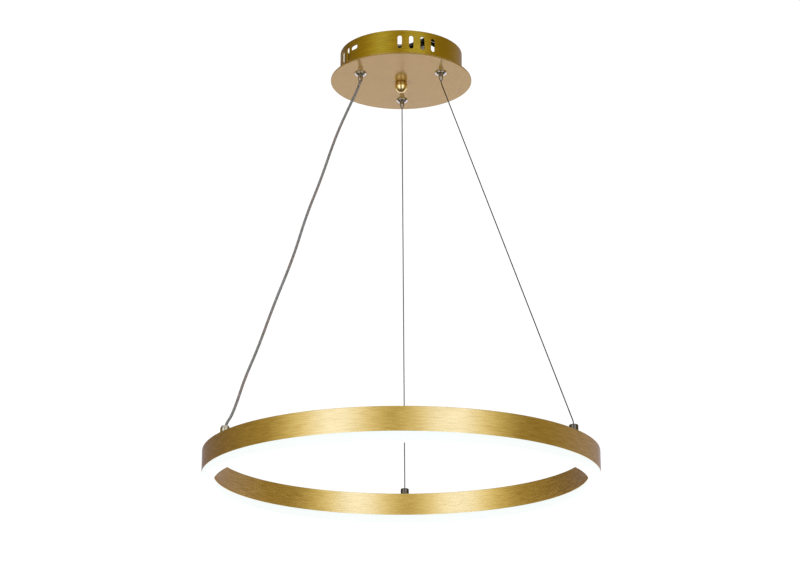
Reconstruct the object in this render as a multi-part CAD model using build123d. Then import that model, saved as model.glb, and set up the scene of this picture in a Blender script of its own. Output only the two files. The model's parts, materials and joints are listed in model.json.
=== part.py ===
"""Ring pendant light: a slotted ceiling canopy, three cables and a glowing ring below.

Millimetres. The origin is on the ceiling, on the axis of the lamp, and +Z points up, so
everything hangs at negative heights. One cable goes to the far side (+Y), one to the near
left and one to the near right. The near left one is the power cable.
"""
import math
import os

from build123d import *

# Ring: an aluminium channel with a hardware channel on top and the light chamber below
RING_OUTER_R = 200.0
RING_WIDTH = 12.0
RING_HEIGHT = 23.5
RING_WALL = 1.2
RING_TOP_WEB = 1.6
HARDWARE_CHANNEL_HEIGHT = 6.0
RING_SHELF = 1.2
RING_DROP = 438.0
SNAP_BEAD = 0.6
SNAP_BEAD_HEIGHT = 0.8
SNAP_BEAD_LIFT = 5.0

# Opal diffuser: a lip as wide as the ring and a stem that snaps into the light chamber
LIP_HEIGHT = 8.5
LIP_FLOOR = 1.8
LIP_ROUND = 1.5
STEM_HEIGHT = 9.5
STEM_WALL = 1.5
STEM_GAP = 0.1

# Light strip
STRIP_SIDE_GAP = 1.3
STRIP_THICKNESS = 0.6
STRIP_GAP_HALF = 14.0
LED_COUNT = 60
LED_LENGTH = 3.5
LED_WIDTH = 2.8
LED_HEIGHT = 0.8
LED_FREE_HALF_ANGLE = 7.0

# Canopy
DISC_R = 75.0
DISC_THICKNESS = 1.5
DRUM_R = 65.0
DRUM_WALL = 1.0
DRUM_HEIGHT = 29.5
DRUM_FLANGE = 4.0
SLOT_WIDTH = 4.5
SLOT_LENGTH = 14.5
SLOT_TOP_MARGIN = 6.0
SLOT_PITCH_ANGLE = 10.7
SLOTS_PER_GROUP = 4
SLOT_GROUPS = 4
SLOT_GROUP_ANGLE = 285.9
SIDE_SLOT_LENGTH = 10.0
SIDE_SLOT_DEPTH = 9.5
SIDE_SLOT_ANGLE = 221.7

# Ceiling bracket, a bar bent down in the middle
BAR_END_GAP = 6.0
BAR_WIDTH = 18.0
BAR_THICKNESS = 1.5
BAR_STEP = 8.0
BAR_STEP_RUN = 8.0
SCREW_SPACING = 90.0
SCREW_SLOT_LENGTH = 12.0
SCREW_SLOT_WIDTH = 4.5
SCREW_SLOT_MARGIN = 1.0

# Stud and finial
STUD_R = 3.0
STUD_TOP_CLEARANCE = 2.0
STUD_NUT_FLATS = 10.0
STUD_NUT_HEIGHT = 5.0
STUD_WASHER_R = 6.0
STUD_WASHER_THICKNESS = 1.2
HOLE_GAP = 0.3
FINIAL_R = 7.0
FINIAL_NECK_R = 6.0
FINIAL_BALL_DROP = 4.8
FINIAL_TIP = 2.8
FINIAL_THREAD_GAP = 0.1

# Cable grips
GRIP_NUT_INSET = 3.5
GRIP_FLANGE_R = 6.0
GRIP_FLANGE_HEIGHT = 3.0
GRIP_FLANGE_RIM = 0.6
GRIP_MOUTH_R = 3.6
GRIP_DOME = 0.4
GRIP_BARREL_R = 4.0
GRIP_BARREL_WALL = 0.7
GRIP_BARREL_HEIGHT = 14.5
GRIP_NUT_FLATS = 13.0
GRIP_NUT_HEIGHT = 6.5
NOZZLE_R = 2.5
NOZZLE_LENGTH = 6.0
NOZZLE_GAP = 0.1
NOZZLE_CHAMFER = 0.5
CONE_START = 8.0
CONE_HEIGHT = 6.0
GRIP_CAP_THICKNESS = 1.5
PLUNGER_CATCH = 0.15
PLUNGER_HEAD = 1.0
PLUNGER_HEAD_LIFT = 4.0
BALL_COUNT = 3
BALL_LIFT = 1.0
BALL_GAP = 0.05
SPRING_WIRE_R = 0.25
SPRING_INSET = 0.2
SPRING_TURNS = 4
SPRING_SEAT_GAP = 0.02
SLEEVE_DROP = 1.0
SLEEVE_HEIGHT = 6.0
SLEEVE_GAP = 0.05

# Cables
STEEL_R = 0.6
STEEL_BORE_GAP = 0.3
POWER_R = 1.4
POWER_BORE_GAP = 0.15
CABLE_INSIDE_NOZZLE = 4.0
STEEL_TOP_BEND = 7.0
STEEL_LOW_BEND = 22.0
POWER_TOP_BEND = 6.0
POWER_LOW_BEND = 12.0
POWER_END_LIFT = 1.0
TAIL_BEND_RISE = 8.0
TAIL_LEG = 16.0
TAIL_TURN = 40.0
POWER_TAIL_RISE = 2.5
ARC_SHARE = 0.45

# Terminals on the ring
TERMINAL_R = 4.5
TERMINAL_HEIGHT = 7.5
TERMINAL_ROOF = 1.5
TERMINAL_CHAMFER = 0.7
TERMINAL_STUD_R = 2.5
STUD_BELOW_WEB = 3.6
RING_NUT_SIDE_GAP = 0.8
RING_NUT_HEIGHT = 3.2
FERRULE_R = 1.8
FERRULE_HEIGHT = 2.2
FERRULE_GAP = 0.05
FERRULE_REST_GAP = 0.3
GLAND_R = 4.75
GLAND_HEIGHT = 8.0
GLAND_TAPER = 2.0
GLAND_MOUTH_R = 3.0
CORE_R = 0.55
CORE_SPREAD = 0.75
CORE_BEND = 1.2
CORE_HOLE_R = 2.2
CORE_HOLE_OFFSET = 10.0
CORE_PAD_RUN = 4.0
CORE_SHELF_RISE = 1.2

# Driver and wiring in the canopy
DRIVER_LENGTH = 56.0
DRIVER_WIDTH = 30.0
DRIVER_HEIGHT = 21.0
DRIVER_WALL = 1.5
DRIVER_LID = 1.5
DRIVER_LID_LIP = 1.0
DRIVER_CORNER_GAP = 8.4
BOARD_THICKNESS = 1.6
BOARD_MARGIN = 0.5
POST_HEIGHT = 2.0
POST_R = 1.5
POST_INSET = 3.0
TRANSFORMER_SIZE = (16.0, 14.0, 12.0)
TRANSFORMER_ROUND = 1.5
TRANSFORMER_X = -6.0
CAPACITOR_R = 4.0
CAPACITOR_HEIGHT = 12.0
CAPACITOR_SPACING = 11.0
CAPACITOR_X = 14.0
BLOCK_LENGTH = 22.0
BLOCK_WIDTH = 16.0
BLOCK_HEIGHT = 13.0
BLOCK_Y = 26.0
BLOCK_SCREW_R = 2.0
BLOCK_SCREW_DEPTH = 4.0
BLOCK_SCREW_SPACING = 10.0
BLOCK_SCREW_ROW = 8.0
LEAD_R = 1.1
LEAD_EXIT_X = -22.0
LEAD_EXIT_RUN = 9.0
LEAD_EXIT_HEIGHT = 8.5
LEAD_PAIR_RISE = 3.0
LEAD_WALL_GAP = 5.0
LEAD_TURN_GAP = 14.0
LEAD_TURN_ANGLE = 28.0
LEAD_TURN_HEIGHT = 9.5
LEAD_ENTRY_RUN = 9.0
LEAD_ENTRY_SHIFT = 3.0
LEAD_ENTRY_HEIGHT = 7.5
OUTPUT_R = 0.6
OUTPUT_SPREAD = 0.75
OUTPUT_BEND = 2.2
OUTPUT_RISE = 7.0
OUTPUT_ENTRY = 10.5

# Heights and radii that follow
DISC_TOP_Z = -DRUM_HEIGHT
DISC_BASE_Z = DISC_TOP_Z - DISC_THICKNESS
DRUM_INNER_R = DRUM_R - DRUM_WALL
RING_TOP_Z = -RING_DROP
RING_BASE_Z = RING_TOP_Z - RING_HEIGHT
RING_INNER_R = RING_OUTER_R - RING_WIDTH
RING_MID_R = RING_OUTER_R - RING_WIDTH / 2
CHANNEL_INNER_R = RING_INNER_R + RING_WALL
CHANNEL_OUTER_R = RING_OUTER_R - RING_WALL
CHANNEL_ROOF_Z = RING_TOP_Z - RING_TOP_WEB
SHELF_TOP_Z = CHANNEL_ROOF_Z - HARDWARE_CHANNEL_HEIGHT
SHELF_BASE_Z = SHELF_TOP_Z - RING_SHELF
STRIP_BASE_Z = SHELF_BASE_Z - STRIP_THICKNESS
GRIP_NUT_CORNER_R = GRIP_NUT_FLATS / 2 / math.cos(math.pi / 6)
GRIP_CIRCLE_R = DRUM_INNER_R - DRUM_FLANGE - GRIP_NUT_CORNER_R - GRIP_NUT_INSET
GRIP_BASE_Z = DISC_BASE_Z - GRIP_FLANGE_HEIGHT
GRIP_TOP_Z = DISC_TOP_Z + GRIP_BARREL_HEIGHT
GRIP_BORE_R = NOZZLE_R + NOZZLE_GAP
CHAMBER_R = GRIP_BARREL_R - GRIP_BARREL_WALL
NOZZLE_TIP_Z = GRIP_BASE_Z - NOZZLE_LENGTH
CONE_BASE_Z = GRIP_BASE_Z + CONE_START
CONE_TOP_Z = CONE_BASE_Z + CONE_HEIGHT
CAP_BASE_Z = GRIP_TOP_Z - GRIP_CAP_THICKNESS
PLUNGER_TOP_Z = CONE_BASE_Z + PLUNGER_HEAD_LIFT
PLUNGER_HEAD_R = GRIP_BORE_R + PLUNGER_CATCH
CABLE_TOP_Z = NOZZLE_TIP_Z + CABLE_INSIDE_NOZZLE
STEEL_BORE_R = STEEL_R + STEEL_BORE_GAP
POWER_BORE_R = POWER_R + POWER_BORE_GAP
TERMINAL_ROOF_Z = RING_TOP_Z + TERMINAL_HEIGHT - TERMINAL_ROOF
STEEL_END_Z = TERMINAL_ROOF_Z - FERRULE_HEIGHT
TERMINAL_STUD_TOP_Z = STEEL_END_Z - FERRULE_REST_GAP
TERMINAL_STUD_BASE_Z = CHANNEL_ROOF_Z - STUD_BELOW_WEB
BAR_MIDDLE_TOP_Z = -BAR_STEP
BAR_MIDDLE_BASE_Z = BAR_MIDDLE_TOP_Z - BAR_THICKNESS
FINIAL_BALL_Z = DISC_BASE_Z - FINIAL_BALL_DROP
FINIAL_BORE_Z = FINIAL_BALL_Z - FINIAL_R + FINIAL_TIP
DRIVER_END_X = DRIVER_LENGTH / 2
DRIVER_FRONT_Y = -math.sqrt((DRUM_INNER_R - DRIVER_CORNER_GAP) ** 2 - DRIVER_END_X**2)
DRIVER_Y = DRIVER_FRONT_Y + DRIVER_WIDTH / 2
DRIVER_LID_Z = DISC_TOP_Z + DRIVER_HEIGHT - DRIVER_LID
BOARD_BASE_Z = DISC_TOP_Z + DRIVER_WALL + POST_HEIGHT
BOARD_TOP_Z = BOARD_BASE_Z + BOARD_THICKNESS
BLOCK_END_X = BLOCK_LENGTH / 2
BLOCK_TOP_Z = DISC_TOP_Z + BLOCK_HEIGHT

FAR_ANGLE = 90.0
POWER_ANGLE = 210.0
RIGHT_ANGLE = 330.0
ALL_ANGLES = (FAR_ANGLE, POWER_ANGLE, RIGHT_ANGLE)
STEEL_ANGLES = {"right": RIGHT_ANGLE, "far": FAR_ANGLE}

# Power cable route, as distances from the lamp's axis and heights, in the plane of its fittings
POWER_END_Z = RING_TOP_Z + POWER_END_LIFT
POWER_ROUTE = [
    (GRIP_CIRCLE_R, CABLE_TOP_Z), (GRIP_CIRCLE_R, NOZZLE_TIP_Z - POWER_TOP_BEND), (58.0, -67.0),
    (76.5, -106.0), (94.5, -160.0), (110.0, -200.0), (124.4, -249.0), (145.5, -303.0), (161.0, -347.0),
    (175.5, -380.0), (185.4, -403.5), (190.6, -415.0), (RING_MID_R, RING_TOP_Z + POWER_LOW_BEND),
    (RING_MID_R, POWER_END_Z),
]

# Mains leads along the inside of the drum, as angles and heights above the disc
LEAD_WALL_STOPS = [
    (262.0, 9.0), (274.0, 11.0), (283.0, 14.0), (292.0, 17.0), (302.0, 18.5), (318.0, 18.0),
    (336.0, 16.5), (354.0, 14.5), (370.0, 12.0),
]

os.makedirs("parts", exist_ok=True)


def save(name, shape):
    """Write one sub-part to its own file."""
    export_step(shape, f"parts/{name}.step")


def on_circle(radius, angle, shape):
    """Carry a shape out from the axis to a place on a circle."""
    return Rot(0, 0, angle) * Pos(radius, 0, 0) * shape


def turned_edges(edges, arc=360.0):
    """Solid of revolution about Z from the edges of a closed outline."""
    return revolve(make_face(edges), Axis.Z, arc)


def turned(outline, arc=360.0):
    """Solid of revolution about Z from (radius, height) points."""
    corners = [(radius, 0, height) for radius, height in outline]
    return turned_edges(Polyline(*corners, close=True), arc)


def sleeve(inner_r, outer_r, base_z, top_z):
    """Plain ring on the axis."""
    return turned([(inner_r, base_z), (outer_r, base_z), (outer_r, top_z), (inner_r, top_z)])


def post(radius, base_z, top_z):
    """Upright round bar on the axis."""
    bar = Cylinder(radius, top_z - base_z, align=(Align.CENTER, Align.CENTER, Align.MIN))
    return Pos(0, 0, base_z) * bar


def block(length, width, base_z, top_z):
    """Upright box on the axis."""
    box = Box(length, width, top_z - base_z, align=(Align.CENTER, Align.CENTER, Align.MIN))
    return Pos(0, 0, base_z) * box


def hex_nut(flats, base_z, height, bore_r):
    """Hexagonal nut on the axis, with two flats facing along X."""
    blank = extrude(RegularPolygon(flats / 2, 6, major_radius=False, rotation=30), height)
    return Pos(0, 0, base_z) * blank - post(bore_r, base_z, base_z + height)


def corner_radii(points, largest):
    """Radius of each corner of a route: a share of the shorter run over the half turn's tangent."""
    radii = []
    for before, corner, after in zip(points, points[1:], points[2:]):
        run_in = Vector(*corner) - Vector(*before)
        run_out = Vector(*after) - Vector(*corner)
        half_turn = math.radians(run_in.get_angle(run_out)) / 2
        radii.append(min(largest, ARC_SHARE * min(run_in.length, run_out.length) / math.tan(half_turn)))
    return radii


def tube(name, points, radius, largest=math.inf):
    """Round tube along straight runs joined by tangent arcs."""
    radii = corner_radii(points, largest)
    path = FilletPolyline(*points, radius=radii)
    solid = sweep(Plane(origin=path @ 0, z_dir=path % 0) * Circle(radius), path)
    share = solid.volume / (math.pi * radius**2 * path.length)
    print(name, "length", round(path.length, 2), "volume against section times length", round(share, 4))
    print("  radii", [round(value, 1) for value in radii])
    return solid


def biarc(start, start_way, end, end_way):
    """Two tangent arcs from one point and direction to another."""
    chord = end - start
    along = chord.dot(start_way + end_way)
    bend = 2 * (1 - start_way.dot(end_way))
    reach = (math.sqrt(along**2 + bend * chord.dot(chord)) - along) / bend
    middle = (start + start_way * reach + end - end_way * reach) * 0.5
    first = Edge.make_tangent_arc(start, start_way, middle)
    second = Edge.make_tangent_arc(middle, first % 1, end)
    return [first, second]


# Ring
def ring_housing():
    """Two walls, a top web, a shelf, and a snap bead on each wall."""
    bead_base = RING_BASE_Z + SNAP_BEAD_LIFT
    bead_top = bead_base + SNAP_BEAD_HEIGHT
    inner_bead = CHANNEL_INNER_R + SNAP_BEAD
    outer_bead = CHANNEL_OUTER_R - SNAP_BEAD
    body = turned([
        (RING_INNER_R, RING_BASE_Z), (CHANNEL_INNER_R, RING_BASE_Z), (CHANNEL_INNER_R, bead_base),
        (inner_bead, bead_base), (inner_bead, bead_top), (CHANNEL_INNER_R, bead_top),
        (CHANNEL_INNER_R, SHELF_BASE_Z), (CHANNEL_OUTER_R, SHELF_BASE_Z), (CHANNEL_OUTER_R, bead_top),
        (outer_bead, bead_top), (outer_bead, bead_base), (CHANNEL_OUTER_R, bead_base),
        (CHANNEL_OUTER_R, RING_BASE_Z), (RING_OUTER_R, RING_BASE_Z), (RING_OUTER_R, RING_TOP_Z),
        (RING_INNER_R, RING_TOP_Z),
    ])
    body -= sleeve(CHANNEL_INNER_R, CHANNEL_OUTER_R, SHELF_TOP_Z, CHANNEL_ROOF_Z)
    stud_hole = post(TERMINAL_STUD_R, CHANNEL_ROOF_Z, RING_TOP_Z)
    core_hole = Pos(0, CORE_HOLE_OFFSET, 0) * post(CORE_HOLE_R, SHELF_BASE_Z, SHELF_TOP_Z)
    holes = [on_circle(RING_MID_R, angle, stud_hole) for angle in ALL_ANGLES]
    holes.append(on_circle(RING_MID_R, POWER_ANGLE, core_hole))
    return body - holes


def diffuser():
    """U-shaped opal profile with a rounded lip and a notch over each snap bead."""
    stem_inner = CHANNEL_INNER_R + STEM_GAP
    stem_outer = CHANNEL_OUTER_R - STEM_GAP
    lip_base = RING_BASE_Z - LIP_HEIGHT
    stem_top = RING_BASE_Z + STEM_HEIGHT
    notch_base = RING_BASE_Z + SNAP_BEAD_LIFT - STEM_GAP
    notch_top = notch_base + SNAP_BEAD_HEIGHT + 2 * STEM_GAP
    lip = sleeve(RING_INNER_R, RING_OUTER_R, lip_base, RING_BASE_Z)
    lip = fillet(lip.edges().group_by(Axis.Z)[0].filter_by(GeomType.CIRCLE), LIP_ROUND)
    stem = sleeve(stem_inner, stem_outer, RING_BASE_Z, stem_top)
    stem -= sleeve(stem_inner, stem_inner + SNAP_BEAD, notch_base, notch_top)
    stem -= sleeve(stem_outer - SNAP_BEAD, stem_outer, notch_base, notch_top)
    hollow = sleeve(stem_inner + STEM_WALL, stem_outer - STEM_WALL, lip_base + LIP_FLOOR, stem_top)
    return lip + stem - hollow


def led_strip():
    """Flat band under the shelf, open where the leads come through."""
    inner = CHANNEL_INNER_R + STRIP_SIDE_GAP
    outer = CHANNEL_OUTER_R - STRIP_SIDE_GAP
    open_half = math.degrees(math.atan2(STRIP_GAP_HALF, RING_MID_R))
    outline = [(inner, STRIP_BASE_Z), (outer, STRIP_BASE_Z), (outer, SHELF_BASE_Z), (inner, SHELF_BASE_Z)]
    return Rot(0, 0, POWER_ANGLE + open_half) * turned(outline, 360 - 2 * open_half)


def led_chips():
    """Row of light chips under the strip."""
    chip = block(LED_WIDTH, LED_LENGTH, STRIP_BASE_Z - LED_HEIGHT, STRIP_BASE_Z)
    first = POWER_ANGLE + LED_FREE_HALF_ANGLE
    step = (360 - 2 * LED_FREE_HALF_ANGLE) / (LED_COUNT - 1)
    return Compound([on_circle(RING_MID_R, first + step * index, chip) for index in range(LED_COUNT)])


def terminal_cap():
    """Round cap that holds the crimped end of a steel cable."""
    top = RING_TOP_Z + TERMINAL_HEIGHT
    return turned([
        (TERMINAL_STUD_R, RING_TOP_Z), (TERMINAL_R, RING_TOP_Z), (TERMINAL_R, top - TERMINAL_CHAMFER),
        (TERMINAL_R - TERMINAL_CHAMFER, top), (STEEL_BORE_R, top), (STEEL_BORE_R, TERMINAL_ROOF_Z),
        (TERMINAL_STUD_R, TERMINAL_ROOF_Z),
    ])


def power_gland_cap():
    """Tapered cap that the power cable goes through."""
    top = RING_TOP_Z + GLAND_HEIGHT
    return turned([
        (TERMINAL_STUD_R, RING_TOP_Z), (GLAND_R, RING_TOP_Z), (GLAND_R, top - GLAND_TAPER),
        (GLAND_MOUTH_R, top), (POWER_BORE_R, top), (POWER_BORE_R, TERMINAL_STUD_TOP_Z),
        (TERMINAL_STUD_R, TERMINAL_STUD_TOP_Z),
    ])


def terminal_stud():
    """Threaded stud through the top web."""
    return post(TERMINAL_STUD_R, TERMINAL_STUD_BASE_Z, TERMINAL_STUD_TOP_Z)


def power_gland_stud():
    """Hollow stud that the cores of the power cable go through."""
    return sleeve(POWER_BORE_R, TERMINAL_STUD_R, TERMINAL_STUD_BASE_Z, TERMINAL_STUD_TOP_Z)


def ferrule():
    """Crimped end of a steel cable."""
    return sleeve(STEEL_R + FERRULE_GAP, FERRULE_R, STEEL_END_Z, TERMINAL_ROOF_Z)


def ring_nuts():
    """Nuts in the hardware channel, one under each terminal."""
    flats = CHANNEL_OUTER_R - CHANNEL_INNER_R - 2 * RING_NUT_SIDE_GAP
    nut = hex_nut(flats, CHANNEL_ROOF_Z - RING_NUT_HEIGHT, RING_NUT_HEIGHT, TERMINAL_STUD_R)
    return Compound([on_circle(RING_MID_R, angle, nut) for angle in ALL_ANGLES])


def ring_leads():
    """Two cores from the end of the power cable, through the shelf, to the strip."""
    run_z = SHELF_TOP_Z + CORE_SHELF_RISE
    pad_z = STRIP_BASE_Z - CORE_R
    pad_end = STRIP_GAP_HALF + CORE_PAD_RUN
    cores = []
    for side in (-CORE_SPREAD, CORE_SPREAD):
        route = [
            (side, 0, POWER_END_Z), (side, 0, run_z), (side, CORE_HOLE_OFFSET, run_z),
            (side, CORE_HOLE_OFFSET, pad_z), (side, pad_end, pad_z),
        ]
        cores.append(tube("ring_leads", route, CORE_R, CORE_BEND))
    return Compound([on_circle(RING_MID_R, POWER_ANGLE, core) for core in cores])


# Canopy
def canopy_disc():
    """Round plate with holes for the stud and the grips."""
    disc = sleeve(STUD_R + HOLE_GAP, DISC_R, DISC_BASE_Z, DISC_TOP_Z)
    hole = post(GRIP_BARREL_R, DISC_BASE_Z, DISC_TOP_Z)
    return disc - [on_circle(GRIP_CIRCLE_R, angle, hole) for angle in ALL_ANGLES]


def canopy_drum():
    """Open-topped drum with an inward flange and groups of slots."""
    drum = turned([
        (DRUM_INNER_R - DRUM_FLANGE, DISC_TOP_Z), (DRUM_R, DISC_TOP_Z), (DRUM_R, 0), (DRUM_INNER_R, 0),
        (DRUM_INNER_R, DISC_TOP_Z + DRUM_WALL), (DRUM_INNER_R - DRUM_FLANGE, DISC_TOP_Z + DRUM_WALL),
    ])
    upright = extrude(Plane.YZ * SlotOverall(SLOT_LENGTH, SLOT_WIDTH, rotation=90), 2 * DRUM_WALL, both=True)
    upright = Pos(0, 0, -SLOT_TOP_MARGIN - SLOT_LENGTH / 2) * upright
    lying = extrude(Plane.YZ * SlotOverall(SIDE_SLOT_LENGTH, SLOT_WIDTH), 2 * DRUM_WALL, both=True)
    lying = Pos(0, 0, -SIDE_SLOT_DEPTH) * lying
    first = SLOT_GROUP_ANGLE - SLOT_PITCH_ANGLE * (SLOTS_PER_GROUP - 1) / 2
    cuts = [on_circle(DRUM_R, angle, lying) for angle in (SIDE_SLOT_ANGLE, SIDE_SLOT_ANGLE + 180)]
    for group in range(SLOT_GROUPS):
        for index in range(SLOTS_PER_GROUP):
            angle = first + group * 360 / SLOT_GROUPS + index * SLOT_PITCH_ANGLE
            cuts.append(on_circle(DRUM_R, angle, upright))
    return drum - cuts


def mounting_bracket():
    """Bent bar with a slotted pad at each end and a hole for the stud."""
    half_length = DRUM_INNER_R - BAR_END_GAP
    pad_start = SCREW_SPACING / 2 - SCREW_SLOT_LENGTH / 2 - SCREW_SLOT_MARGIN
    inner = pad_start - BAR_STEP_RUN
    bend = BAR_THICKNESS * math.tan(math.atan2(BAR_STEP, BAR_STEP_RUN) / 2)
    right = [
        (inner, BAR_MIDDLE_TOP_Z), (pad_start, 0), (half_length, 0), (half_length, -BAR_THICKNESS),
        (pad_start + bend, -BAR_THICKNESS), (inner + bend, BAR_MIDDLE_BASE_Z),
    ]
    outline = right + [(-x, z) for x, z in reversed(right)]
    section = make_face(Polyline(*[(x, 0, z) for x, z in outline], close=True))
    bar = extrude(section, BAR_WIDTH / 2, dir=(0, 1, 0), both=True)
    slot = extrude(SlotOverall(SCREW_SLOT_LENGTH, SCREW_SLOT_WIDTH), BAR_THICKNESS, both=True)
    bar -= [Pos(side * SCREW_SPACING / 2, 0, 0) * slot for side in (-1, 1)]
    return bar - post(STUD_R + HOLE_GAP, BAR_MIDDLE_BASE_Z, BAR_MIDDLE_TOP_Z)


def centre_stud():
    """Threaded rod from the bracket down into the finial."""
    return post(STUD_R, FINIAL_BORE_Z + HOLE_GAP, -STUD_TOP_CLEARANCE)


def stud_washer():
    """Washer under the bracket."""
    return sleeve(
        STUD_R + HOLE_GAP, STUD_WASHER_R, BAR_MIDDLE_BASE_Z - STUD_WASHER_THICKNESS, BAR_MIDDLE_BASE_Z
    )


def stud_nuts():
    """One nut above the bracket and one below its washer."""
    lower_z = BAR_MIDDLE_BASE_Z - STUD_WASHER_THICKNESS - STUD_NUT_HEIGHT
    return Compound([
        hex_nut(STUD_NUT_FLATS, base_z, STUD_NUT_HEIGHT, STUD_R) for base_z in (BAR_MIDDLE_TOP_Z, lower_z)
    ])


def finial_nut():
    """Ball-shaped nut: a half ball below, drawn in above to a narrower neck against the disc."""
    centre = (0, 0, DISC_BASE_Z)
    neck = (FINIAL_NECK_R, 0, DISC_BASE_Z)
    belly = (FINIAL_R, 0, FINIAL_BALL_Z)
    tip = (0, 0, FINIAL_BALL_Z - FINIAL_R)
    side_r = (FINIAL_BALL_DROP**2 / (FINIAL_R - FINIAL_NECK_R) + FINIAL_R - FINIAL_NECK_R) / 2
    half = math.asin(FINIAL_BALL_DROP / side_r) / 2
    waist = (FINIAL_R - side_r * (1 - math.cos(half)), 0, FINIAL_BALL_Z + side_r * math.sin(half))
    lower = (FINIAL_R * math.sqrt(0.5), 0, FINIAL_BALL_Z - FINIAL_R * math.sqrt(0.5))
    side = ThreePointArc(neck, waist, belly)
    bowl = ThreePointArc(belly, lower, tip)
    ball = turned_edges([Line(centre, neck), side, bowl, Line(tip, centre)])
    return ball - post(STUD_R + FINIAL_THREAD_GAP, FINIAL_BORE_Z, DISC_BASE_Z)


# Cable grips, modelled on the axis and carried out to their places
def cone_radius(height):
    """Inside radius of a grip's tapered bore at a height."""
    return GRIP_BORE_R + (CHAMBER_R - GRIP_BORE_R) * (height - CONE_BASE_Z) / CONE_HEIGHT


def grip_body():
    """Domed flange under the disc and a barrel above it, with a tapered bore."""
    mouth = (GRIP_MOUTH_R, 0, GRIP_BASE_Z)
    rim = (GRIP_FLANGE_R, 0, DISC_BASE_Z - GRIP_FLANGE_RIM)
    crown = (
        (mouth[0] + rim[0]) / 2 + GRIP_DOME, 0, (mouth[2] + rim[2]) / 2 - GRIP_DOME,
    )
    rest = [
        rim, (GRIP_FLANGE_R, 0, DISC_BASE_Z), (GRIP_BARREL_R, 0, DISC_BASE_Z),
        (GRIP_BARREL_R, 0, GRIP_TOP_Z), (CHAMBER_R, 0, GRIP_TOP_Z), (CHAMBER_R, 0, CONE_TOP_Z),
        (GRIP_BORE_R, 0, CONE_BASE_Z), (GRIP_BORE_R, 0, GRIP_BASE_Z), mouth,
    ]
    return turned_edges([ThreePointArc(mouth, crown, rim), Polyline(*rest)])


def grip_cap(bore_r):
    """Screwed plug in the top of a barrel."""
    return sleeve(bore_r, CHAMBER_R, CAP_BASE_Z, GRIP_TOP_Z)


def grip_nuts():
    """Nuts above the disc that hold the grips."""
    nut = hex_nut(GRIP_NUT_FLATS, DISC_TOP_Z, GRIP_NUT_HEIGHT, GRIP_BARREL_R)
    return Compound([on_circle(GRIP_CIRCLE_R, angle, nut) for angle in ALL_ANGLES])


def nozzle_outline(bore_r):
    """Lower end of a nozzle, from its bore round to its side."""
    return [
        (bore_r, NOZZLE_TIP_Z), (NOZZLE_R - NOZZLE_CHAMFER, NOZZLE_TIP_Z),
        (NOZZLE_R, NOZZLE_TIP_Z + NOZZLE_CHAMFER),
    ]


BALL_Z = CONE_BASE_Z + BALL_LIFT
BALL_R = (cone_radius(BALL_Z) - STEEL_R) / 2 - BALL_GAP
BALL_PLACE_R = STEEL_R + BALL_GAP + BALL_R


def ball_ways():
    """Directions of the locking balls round the cable."""
    return [index * 360 / BALL_COUNT for index in range(BALL_COUNT)]


def grip_plunger():
    """Hollow plunger with a pocket for each ball and a head under the spring."""
    head_base = PLUNGER_TOP_Z - PLUNGER_HEAD
    plunger = turned(nozzle_outline(STEEL_BORE_R) + [
        (NOZZLE_R, head_base), (PLUNGER_HEAD_R, head_base), (PLUNGER_HEAD_R, PLUNGER_TOP_Z),
        (STEEL_BORE_R, PLUNGER_TOP_Z),
    ])
    pocket = Cylinder(BALL_R + BALL_GAP, NOZZLE_R, align=(Align.CENTER, Align.CENTER, Align.MIN))
    pocket = Pos(0, 0, BALL_Z) * Rot(0, 90, 0) * pocket
    return plunger - [Rot(0, 0, angle) * pocket for angle in ball_ways()]


def grip_balls():
    """Locking balls between the cable and the tapered bore."""
    ball = Pos(0, 0, BALL_Z) * Sphere(BALL_R)
    return [on_circle(BALL_PLACE_R, angle, ball) for angle in ball_ways()]


def grip_spring():
    """Coil spring over the plunger: a wire on quarter-turn biarcs of a helix."""
    mean_r = PLUNGER_HEAD_R - SPRING_INSET - SPRING_WIRE_R
    base_z = PLUNGER_TOP_Z + SPRING_SEAT_GAP + SPRING_WIRE_R
    rise = CAP_BASE_Z - SPRING_SEAT_GAP - SPRING_WIRE_R - base_z
    quarters = 4 * SPRING_TURNS
    slope = rise / (2 * math.pi * SPRING_TURNS * mean_r)
    places = []
    ways = []
    for step in range(quarters + 1):
        angle = step * math.pi / 2
        height = base_z + rise * step / quarters
        places.append(Vector(mean_r * math.cos(angle), mean_r * math.sin(angle), height))
        ways.append(Vector(-math.sin(angle), math.cos(angle), slope).normalized())
    edges = []
    for step in range(quarters):
        edges += biarc(places[step], ways[step], places[step + 1], ways[step + 1])
    wire = Wire(edges)
    print("grip spring, gap between turns", round(rise / SPRING_TURNS - 2 * SPRING_WIRE_R, 3))
    return sweep(Plane(origin=wire @ 0, z_dir=wire % 0) * Circle(SPRING_WIRE_R), wire)


def cord_nozzle():
    """Screwed nozzle that squeezes the rubber sleeve onto the power cable."""
    top = CONE_BASE_Z - SLEEVE_DROP
    return turned(nozzle_outline(POWER_BORE_R) + [(NOZZLE_R, top), (POWER_BORE_R, top)])


def cord_sleeve():
    """Rubber sleeve in the tapered bore."""
    base = CONE_BASE_Z - SLEEVE_DROP
    top = base + SLEEVE_HEIGHT
    lower_r = GRIP_BORE_R - SLEEVE_GAP
    return turned([
        (POWER_R + SLEEVE_GAP, base), (lower_r, base), (lower_r, CONE_BASE_Z),
        (cone_radius(top) - SLEEVE_GAP, top), (POWER_R + SLEEVE_GAP, top),
    ])


# Cables
def steel_cable(name):
    """Tight cable: down out of the nozzle, straight to the ring, down into the terminal."""
    route = [
        (GRIP_CIRCLE_R, 0, CABLE_TOP_Z), (GRIP_CIRCLE_R, 0, NOZZLE_TIP_Z - STEEL_TOP_BEND),
        (RING_MID_R, 0, RING_TOP_Z + STEEL_LOW_BEND), (RING_MID_R, 0, STEEL_END_Z),
    ]
    return tube(name, route, STEEL_R)


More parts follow.
